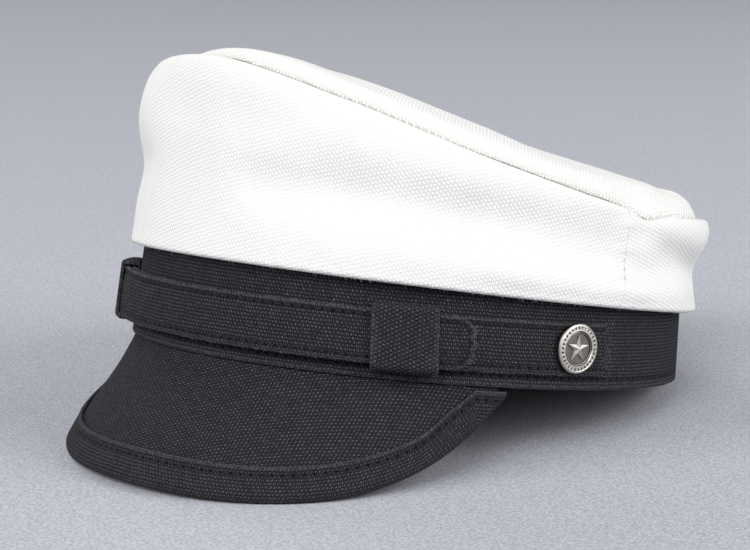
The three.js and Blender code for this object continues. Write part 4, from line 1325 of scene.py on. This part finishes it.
def plain_weave():
    """Plain weave on cloth coordinates in millimetres. With a and b the places counted in warp and weft
    threads, a warp thread stands sign(sin a) sin b high and a weft thread sinks by the same rule, each
    with a round back; the higher one shows. Warp threads dip in the furrow between two wefts, and their
    twist slants them. Threads wander and differ a little in thickness."""
    inputs = [("Cloth", None), ("Warp Pitch", 0.75), ("Weft Pitch", 1.1), ("Weft Share", 0.6)]
    inputs += [("Wander", 0.12), ("Float", 1.5), ("Twist", 0.7), ("Furrow", 0.35)]
    group, w, given, out = effect("Plain weave", inputs, ["Height", "Thread", "Shade"])
    if not w:
        return group
    wander = w.noise(given["Cloth"], 0.35, output="Color")
    centred = w.node("ShaderNodeVectorMath", {0: wander, 1: (0.5, 0.5, 0.5)}, operation="SUBTRACT")
    shift = w.node("ShaderNodeVectorMath", {0: centred.outputs[0]}, operation="SCALE")
    w.join(w.times(given["Wander"], 6.0), shift.inputs["Scale"])
    moved = w.node("ShaderNodeVectorMath", {0: given["Cloth"], 1: shift.outputs[0]})
    parts = w.node("ShaderNodeSeparateXYZ", {0: moved.outputs[0]})
    a = w.math("DIVIDE", parts.outputs[0], given["Warp Pitch"])
    b = w.math("DIVIDE", parts.outputs[1], given["Weft Pitch"])

    def thread(own, other):
        """Height of a thread: ((sign(own) other + 1) / 2)^float |own|^0.6."""
        lift = w.times(w.math("SIGN", own), other)
        top = w.math("POWER", w.math("ADD", w.times(lift, 0.5), 0.5), given["Float"])
        return w.times(top, w.math("POWER", w.math("ABSOLUTE", own), 0.6))

    sine_a = w.math("SINE", w.times(a, math.pi))
    twist = w.times(w.math("SUBTRACT", w.math("FRACT", a), 0.5), given["Twist"])
    sine_b = w.math("SINE", w.times(w.math("ADD", b, twist), math.pi))
    between_wefts = w.math("ABSOLUTE", w.math("SINE", w.times(b, math.pi)))
    over = w.times(thread(sine_a, sine_b), w.math("POWER", between_wefts, given["Furrow"]))
    under = w.times(thread(sine_b, w.times(sine_a, -1.0)), given["Weft Share"])
    height = w.math("MAXIMUM", over, under)
    pick = w.math("FLOOR", w.times(b, 0.5))
    cell = w.node("ShaderNodeCombineXYZ", {0: w.math("FLOOR", a), 1: pick})
    shade = w.node("ShaderNodeTexWhiteNoise", {"Vector": cell.outputs[0]}, noise_dimensions="2D")
    w.join(height, out["Height"])
    w.join(w.step(height, 0.25, 0.85), out["Thread"])
    w.join(shade.outputs["Value"], out["Shade"])
    return group


def needle_holes():
    """Round dents on a sewing line in millimetres, one at each end of every stitch: 1 in the middle of a
    hole and 0 outside it, from the distance to the nearest multiple of the step and to the line."""
    inputs = [("Sewing", None), ("Step", STITCH_LENGTH), ("Radius", HOLE_RADIUS)]
    group, w, given, out = effect("Needle holes", inputs, ["Hole", "Line"])
    if not w:
        return group
    parts = w.node("ShaderNodeSeparateXYZ", {0: given["Sewing"]})
    share = w.math("FRACT", w.math("DIVIDE", parts.outputs[0], given["Step"]))
    off = w.math("SUBTRACT", 0.5, w.math("ABSOLUTE", w.math("SUBTRACT", share, 0.5)))
    along = w.times(off, given["Step"])
    squares = (w.math("POWER", side, 2.0) for side in (along, parts.outputs[1]))
    distance = w.math("SQRT", w.math("ADD", *squares))
    near = w.math("DIVIDE", distance, given["Radius"])
    w.join(w.math("SUBTRACT", 1.0, w.step(near, 0.3, 1.2)), out["Hole"])
    line = w.math("DIVIDE", w.math("ABSOLUTE", parts.outputs[1]), given["Radius"])
    w.join(w.math("SUBTRACT", 1.0, w.step(line, 0.2, 1.2)), out["Line"])
    return group


def weave_node(w, warp, weft, weft_share):
    """Plain weave on the piece's cloth map, for threads spaced in metres."""
    made = w.node("ShaderNodeGroup", node_tree=plain_weave())
    w.join(w.cloth_map("Cloth"), made.inputs["Cloth"])
    for name, value in (("Warp Pitch", warp / MM), ("Weft Pitch", weft / MM), ("Weft Share", weft_share)):
        made.inputs[name].default_value = value
    return made.outputs


def new_finish(name, roughness=0.5, specular=0.5):
    """Material with one Principled BSDF, and its wiring; or the one already made and no wiring."""
    made = bpy.data.materials.get(name)
    if made:
        return made, None, None
    made = bpy.data.materials.new(name)
    made.use_nodes = True
    skin = made.node_tree.nodes["Principled BSDF"]
    skin.inputs["Roughness"].default_value = roughness
    skin.inputs["Specular IOR Level"].default_value = specular
    return made, Wiring(made.node_tree), skin


def white_canvas(look):
    """White threads with their tone varied by noise, painted grey shade between them, and painted shade in
    the seam creases and needle holes where the mask says.
    """
    made, w, skin = new_finish("White canvas", roughness=0.85, specular=0.25)
    if not w:
        return made
    weave = weave_node(w, look.white_warp, look.white_weft, 0.5)
    spot = w.object_place()
    # The mask is painted shade here: the top seam's crease and the open needle holes
    crease_shade = w.wear_and_shade()
    thread = w.blend(w.noise(spot, 60.0), (0.815, 0.815, 0.79, 1), (0.865, 0.865, 0.845, 1))
    near = w.times(crease_shade, 4.0, clamp=True)
    # Painted shade between the threads: grey, and darker near the seam's crease
    between = w.blend(near, (0.57, 0.57, 0.56, 1), (0.40, 0.395, 0.37, 1))
    colour = w.blend(weave["Thread"], between, thread)
    uneven = w.step(w.noise(spot, 260.0, 3.0), 0.2, 0.6)
    # Nearly black painted shade down in the crease and the holes, a little uneven
    dark = w.times(w.step(crease_shade, 0.3, 0.9), w.math("ADD", w.times(uneven, 0.3), 0.68))
    w.join(w.blend(dark, colour, (0.10, 0.097, 0.088, 1)), skin.inputs["Base Color"])
    w.bump(weave["Height"], 0.0003, 0.5, skin)
    return made


def black_canvas(look):
    """Black threads that differ in tone with painted shade between them, paler fuzz of wear where the mask
    says, and painted shade at the needle holes and along the stitch groove.
    """
    made, w, skin = new_finish("Black canvas", roughness=0.9, specular=0.12)
    if not w:
        return made
    weave = weave_node(w, look.black_warp, look.black_weft, 0.55)
    thread = w.blend(weave["Shade"], (0.040, 0.043, 0.050, 1), (0.076, 0.082, 0.093, 1))
    # Painted shade, nearly black, between the threads
    colour = w.blend(weave["Thread"], (0.007, 0.007, 0.008, 1), thread)
    fuzz = w.times(w.wear_and_shade(), w.step(w.noise(w.cloth_map("Cloth"), 1.1, 3.0), 0.35, 0.7))
    colour = w.blend(w.times(fuzz, 0.6, clamp=True), colour, (0.10, 0.104, 0.115, 1))
    holes = w.node("ShaderNodeGroup", node_tree=needle_holes())
    w.join(w.cloth_map("Stitches"), holes.inputs["Sewing"])
    # Painted shade in the needle holes and, lighter, along the groove the stitches lie in
    dent = w.math("MAXIMUM", w.times(holes.outputs["Line"], 0.6), holes.outputs["Hole"])
    w.join(w.blend(w.times(dent, 0.95), colour, (0.001, 0.001, 0.0015, 1)), skin.inputs["Base Color"])
    w.bump(weave["Height"], 0.0004, 0.8, skin)
    return made


def black_thread(look):
    """Black sewing thread, with the fine unevenness of its plies."""
    made, w, skin = new_finish("Black thread", roughness=0.75, specular=0.15)
    if not w:
        return made
    ply = w.noise(w.object_place(), 3000.0, 1.0)
    w.join(w.blend(ply, (0.003, 0.003, 0.004, 1), (0.022, 0.022, 0.025, 1)), skin.inputs["Base Color"])
    return made


def fibre_finish(name, light):
    """Fibres of a pale tone, with darker ones among them."""
    made, w, skin = new_finish(name, roughness=0.8)
    if not w:
        return made
    tone = w.noise(w.object_place(), 400.0, 1.0)
    dark = (0.4 * light, 0.4 * light, 0.42 * light, 1)
    w.join(w.blend(tone, dark, (light, light, light * 1.03, 1)), skin.inputs["Base Color"])
    return made


def antique_silver(look):
    """Metal that is bright where it is rubbed and dark with tarnish elsewhere."""
    made, w, skin = new_finish("Antique silver")
    if not w:
        return made
    tarnish = w.noise(w.object_place(), 900.0, 4.0)
    share = w.times(w.wear_and_shade(), w.math("ADD", w.times(tarnish, 0.7), 0.6), clamp=True)
    w.join(w.blend(share, (0.030, 0.028, 0.025, 1), (0.60, 0.575, 0.525, 1)), skin.inputs["Base Color"])
    rough = w.node("ShaderNodeMapRange", {"Value": tarnish, "To Min": 0.28, "To Max": 0.5})
    w.join(rough.outputs[0], skin.inputs["Roughness"])
    skin.inputs["Metallic"].default_value = 1.0
    return made


def felt(look):
    """Floor of fine felt, a little paler and darker than its colour by noise."""
    made, w, skin = new_finish("Pale felt", roughness=0.95, specular=0.1)
    if not w:
        return made
    fibre = w.noise(w.object_place(), 1100.0, 3.0)
    dark, pale = (tuple(share * c for c in look.floor_colour) + (1,) for share in (0.79, 1.17))
    w.join(w.blend(w.step(fibre, 0.3, 0.7), dark, pale), skin.inputs["Base Color"])
    w.bump(fibre, 0.0003, 0.4, skin)
    return made


# Stage


def build_stage(look):
    """Pale floor, soft light from above and the camera of the photograph."""
    around = np.linspace(0, 2 * np.pi, 97)[:-1]
    rim = np.stack([FLOOR_RADIUS * np.cos(around), FLOOR_RADIUS * np.sin(around), 0 * around - FLOOR_DROP], 1)
    mesh = bpy.data.meshes.new("floor")
    mesh.from_pydata(rim, [], [tuple(range(len(rim)))])
    mesh.materials.append(felt(look))
    add_object("floor", mesh)

    for name, spot, size, watts in LIGHTS:
        lamp = bpy.data.lights.new(name, "AREA")
        lamp.shape = "DISK"
        lamp.size = size
        lamp.energy = watts * look.light
        holder = add_object(name, lamp)
        holder.location = spot
        aim = Vector(LIGHT_AIM) - Vector(spot)
        holder.rotation_euler = aim.to_track_quat("-Z", "Y").to_euler()

    world = bpy.data.worlds.new("Soft room")
    world.use_nodes = True
    w = Wiring(world.node_tree)
    direction = w.node("ShaderNodeTexCoord").outputs["Generated"]
    height = w.node("ShaderNodeSeparateXYZ", {0: direction}).outputs[2]
    sky = world.node_tree.nodes["Background"]
    w.join(w.blend(w.step(height, *ROOM_RISE), ROOM_LOW, ROOM_HIGH), sky.inputs["Color"])
    sky.inputs["Strength"].default_value = look.room_light
    bpy.context.scene.world = world

    lens = bpy.data.cameras.new("Camera")
    lens.lens = look.camera_lens
    lens.sensor_width = CAMERA_SENSOR
    camera = add_object("Camera", lens)
    turn = Matrix.Rotation(math.radians(CAMERA_AZIMUTH), 4, "Z")
    turn @= Matrix.Rotation(math.radians(90 - CAMERA_ELEVATION), 4, "X")
    turn @= Matrix.Rotation(math.radians(CAMERA_ROLL), 4, "Z")
    camera.matrix_world = Matrix.Translation(Vector(CAMERA_PLACE) * MM) @ turn
    bpy.context.scene.camera = camera
    bpy.context.scene.view_settings.view_transform = "Standard"


class SailorCapLook(PropertyGroup):
    """Sizes and colours of the cap and its stage that a user would change."""

    white_warp: FloatProperty(
        name="White warp", description="Spacing of the warp in the white canvas",
        default=0.63 * MM, unit="LENGTH")
    white_weft: FloatProperty(
        name="White weft", description="Spacing of the weft in the white canvas",
        default=1.26 * MM, unit="LENGTH")
    black_warp: FloatProperty(
        name="Black warp", description="Spacing of the warp in the black canvas",
        default=0.635 * MM, unit="LENGTH")
    black_weft: FloatProperty(
        name="Black weft", description="Spacing of the weft in the black canvas",
        default=1.12 * MM, unit="LENGTH")
    floor_colour: FloatVectorProperty(
        name="Floor", description="Colour of the floor", default=(0.358, 0.364, 0.405),
        min=0, max=1, subtype="COLOR")
    light: FloatProperty(
        name="Light", description="Strength of the lamps, as a share of the usual", default=1.0, min=0)
    room_light: FloatProperty(
        name="Room light", description="Strength of the light from all round", default=0.06, min=0)
    camera_lens: FloatProperty(
        name="Lens", description="Focal length of the camera in millimetres", default=CAMERA_LENS, min=1)


class CrownOperator(Operator):
    """Adds the front, back and top panels of the crown"""

    bl_idname = "sailor_cap.crown"
    bl_label = "Crown"

    def execute(self, context):
        build_crown(context.scene.sailor_cap)
        return {"FINISHED"}


class BandOperator(Operator):
    """Adds the two lengths of the head band"""

    bl_idname = "sailor_cap.band"
    bl_label = "Head band"

    def execute(self, context):
        build_band(context.scene.sailor_cap)
        return {"FINISHED"}


class PeakOperator(Operator):
    """Adds the peak and the strip that binds its edge"""

    bl_idname = "sailor_cap.peak"
    bl_label = "Peak"

    def execute(self, context):
        build_peak(context.scene.sailor_cap)
        return {"FINISHED"}


class StrapOperator(Operator):
    """Adds the two lengths of the front strap"""

    bl_idname = "sailor_cap.straps"
    bl_label = "Front strap"

    def execute(self, context):
        build_straps(context.scene.sailor_cap)
        return {"FINISHED"}


class KeeperOperator(Operator):
    """Adds the two cloth loops round the strap"""

    bl_idname = "sailor_cap.keepers"
    bl_label = "Keepers"

    def execute(self, context):
        build_keepers(context.scene.sailor_cap)
        return {"FINISHED"}


class ButtonOperator(Operator):
    """Adds the two star buttons"""

    bl_idname = "sailor_cap.buttons"
    bl_label = "Buttons"

    def execute(self, context):
        build_buttons(context.scene.sailor_cap)
        return {"FINISHED"}


class StitchOperator(Operator):
    """Adds the thread of the sewn edges; the straps' operator comes before it"""

    bl_idname = "sailor_cap.stitches"
    bl_label = "Stitches"

    def execute(self, context):
        build_stitches(context.scene.sailor_cap)
        return {"FINISHED"}


class FibreOperator(Operator):
    """Adds the loose fibres along the cut and folded edges"""

    bl_idname = "sailor_cap.fibres"
    bl_label = "Loose fibres"

    def execute(self, context):
        build_fibres(context.scene.sailor_cap)
        return {"FINISHED"}


class StageOperator(Operator):
    """Adds the floor, the lights and the camera"""

    bl_idname = "sailor_cap.stage"
    bl_label = "Stage"

    def execute(self, context):
        build_stage(context.scene.sailor_cap)
        return {"FINISHED"}


PIECE_OPERATORS = (
    CrownOperator,
    BandOperator,
    PeakOperator,
    StrapOperator,
    KeeperOperator,
    ButtonOperator,
    StitchOperator,
    FibreOperator,
    StageOperator,
)


class SailorCapPanel(Panel):
    """Lists the cap's pieces in the sidebar"""

    bl_idname = "VIEW3D_PT_sailor_cap"
    bl_label = "Sailor Cap"
    bl_space_type = "VIEW_3D"
    bl_region_type = "UI"
    bl_category = "Sailor Cap"

    def draw(self, context):
        for operator in PIECE_OPERATORS:
            self.layout.operator(operator.bl_idname)
        for name in SailorCapLook.__annotations__:
            self.layout.prop(context.scene.sailor_cap, name)


def register():
    for made in (SailorCapLook, *PIECE_OPERATORS, SailorCapPanel):
        bpy.utils.register_class(made)
    bpy.types.Scene.sailor_cap = PointerProperty(type=SailorCapLook)


def unregister():
    del bpy.types.Scene.sailor_cap
    for made in (SailorCapPanel, *reversed(PIECE_OPERATORS), SailorCapLook):
        bpy.utils.unregister_class(made)


def main():
    register()
    bpy.ops.sailor_cap.crown()
    bpy.ops.sailor_cap.band()
    bpy.ops.sailor_cap.peak()
    bpy.ops.sailor_cap.straps()
    bpy.ops.sailor_cap.keepers()
    bpy.ops.sailor_cap.buttons()
    bpy.ops.sailor_cap.stitches()
    bpy.ops.sailor_cap.fibres()
    bpy.ops.sailor_cap.stage()


if __name__ == "__main__":
    main()
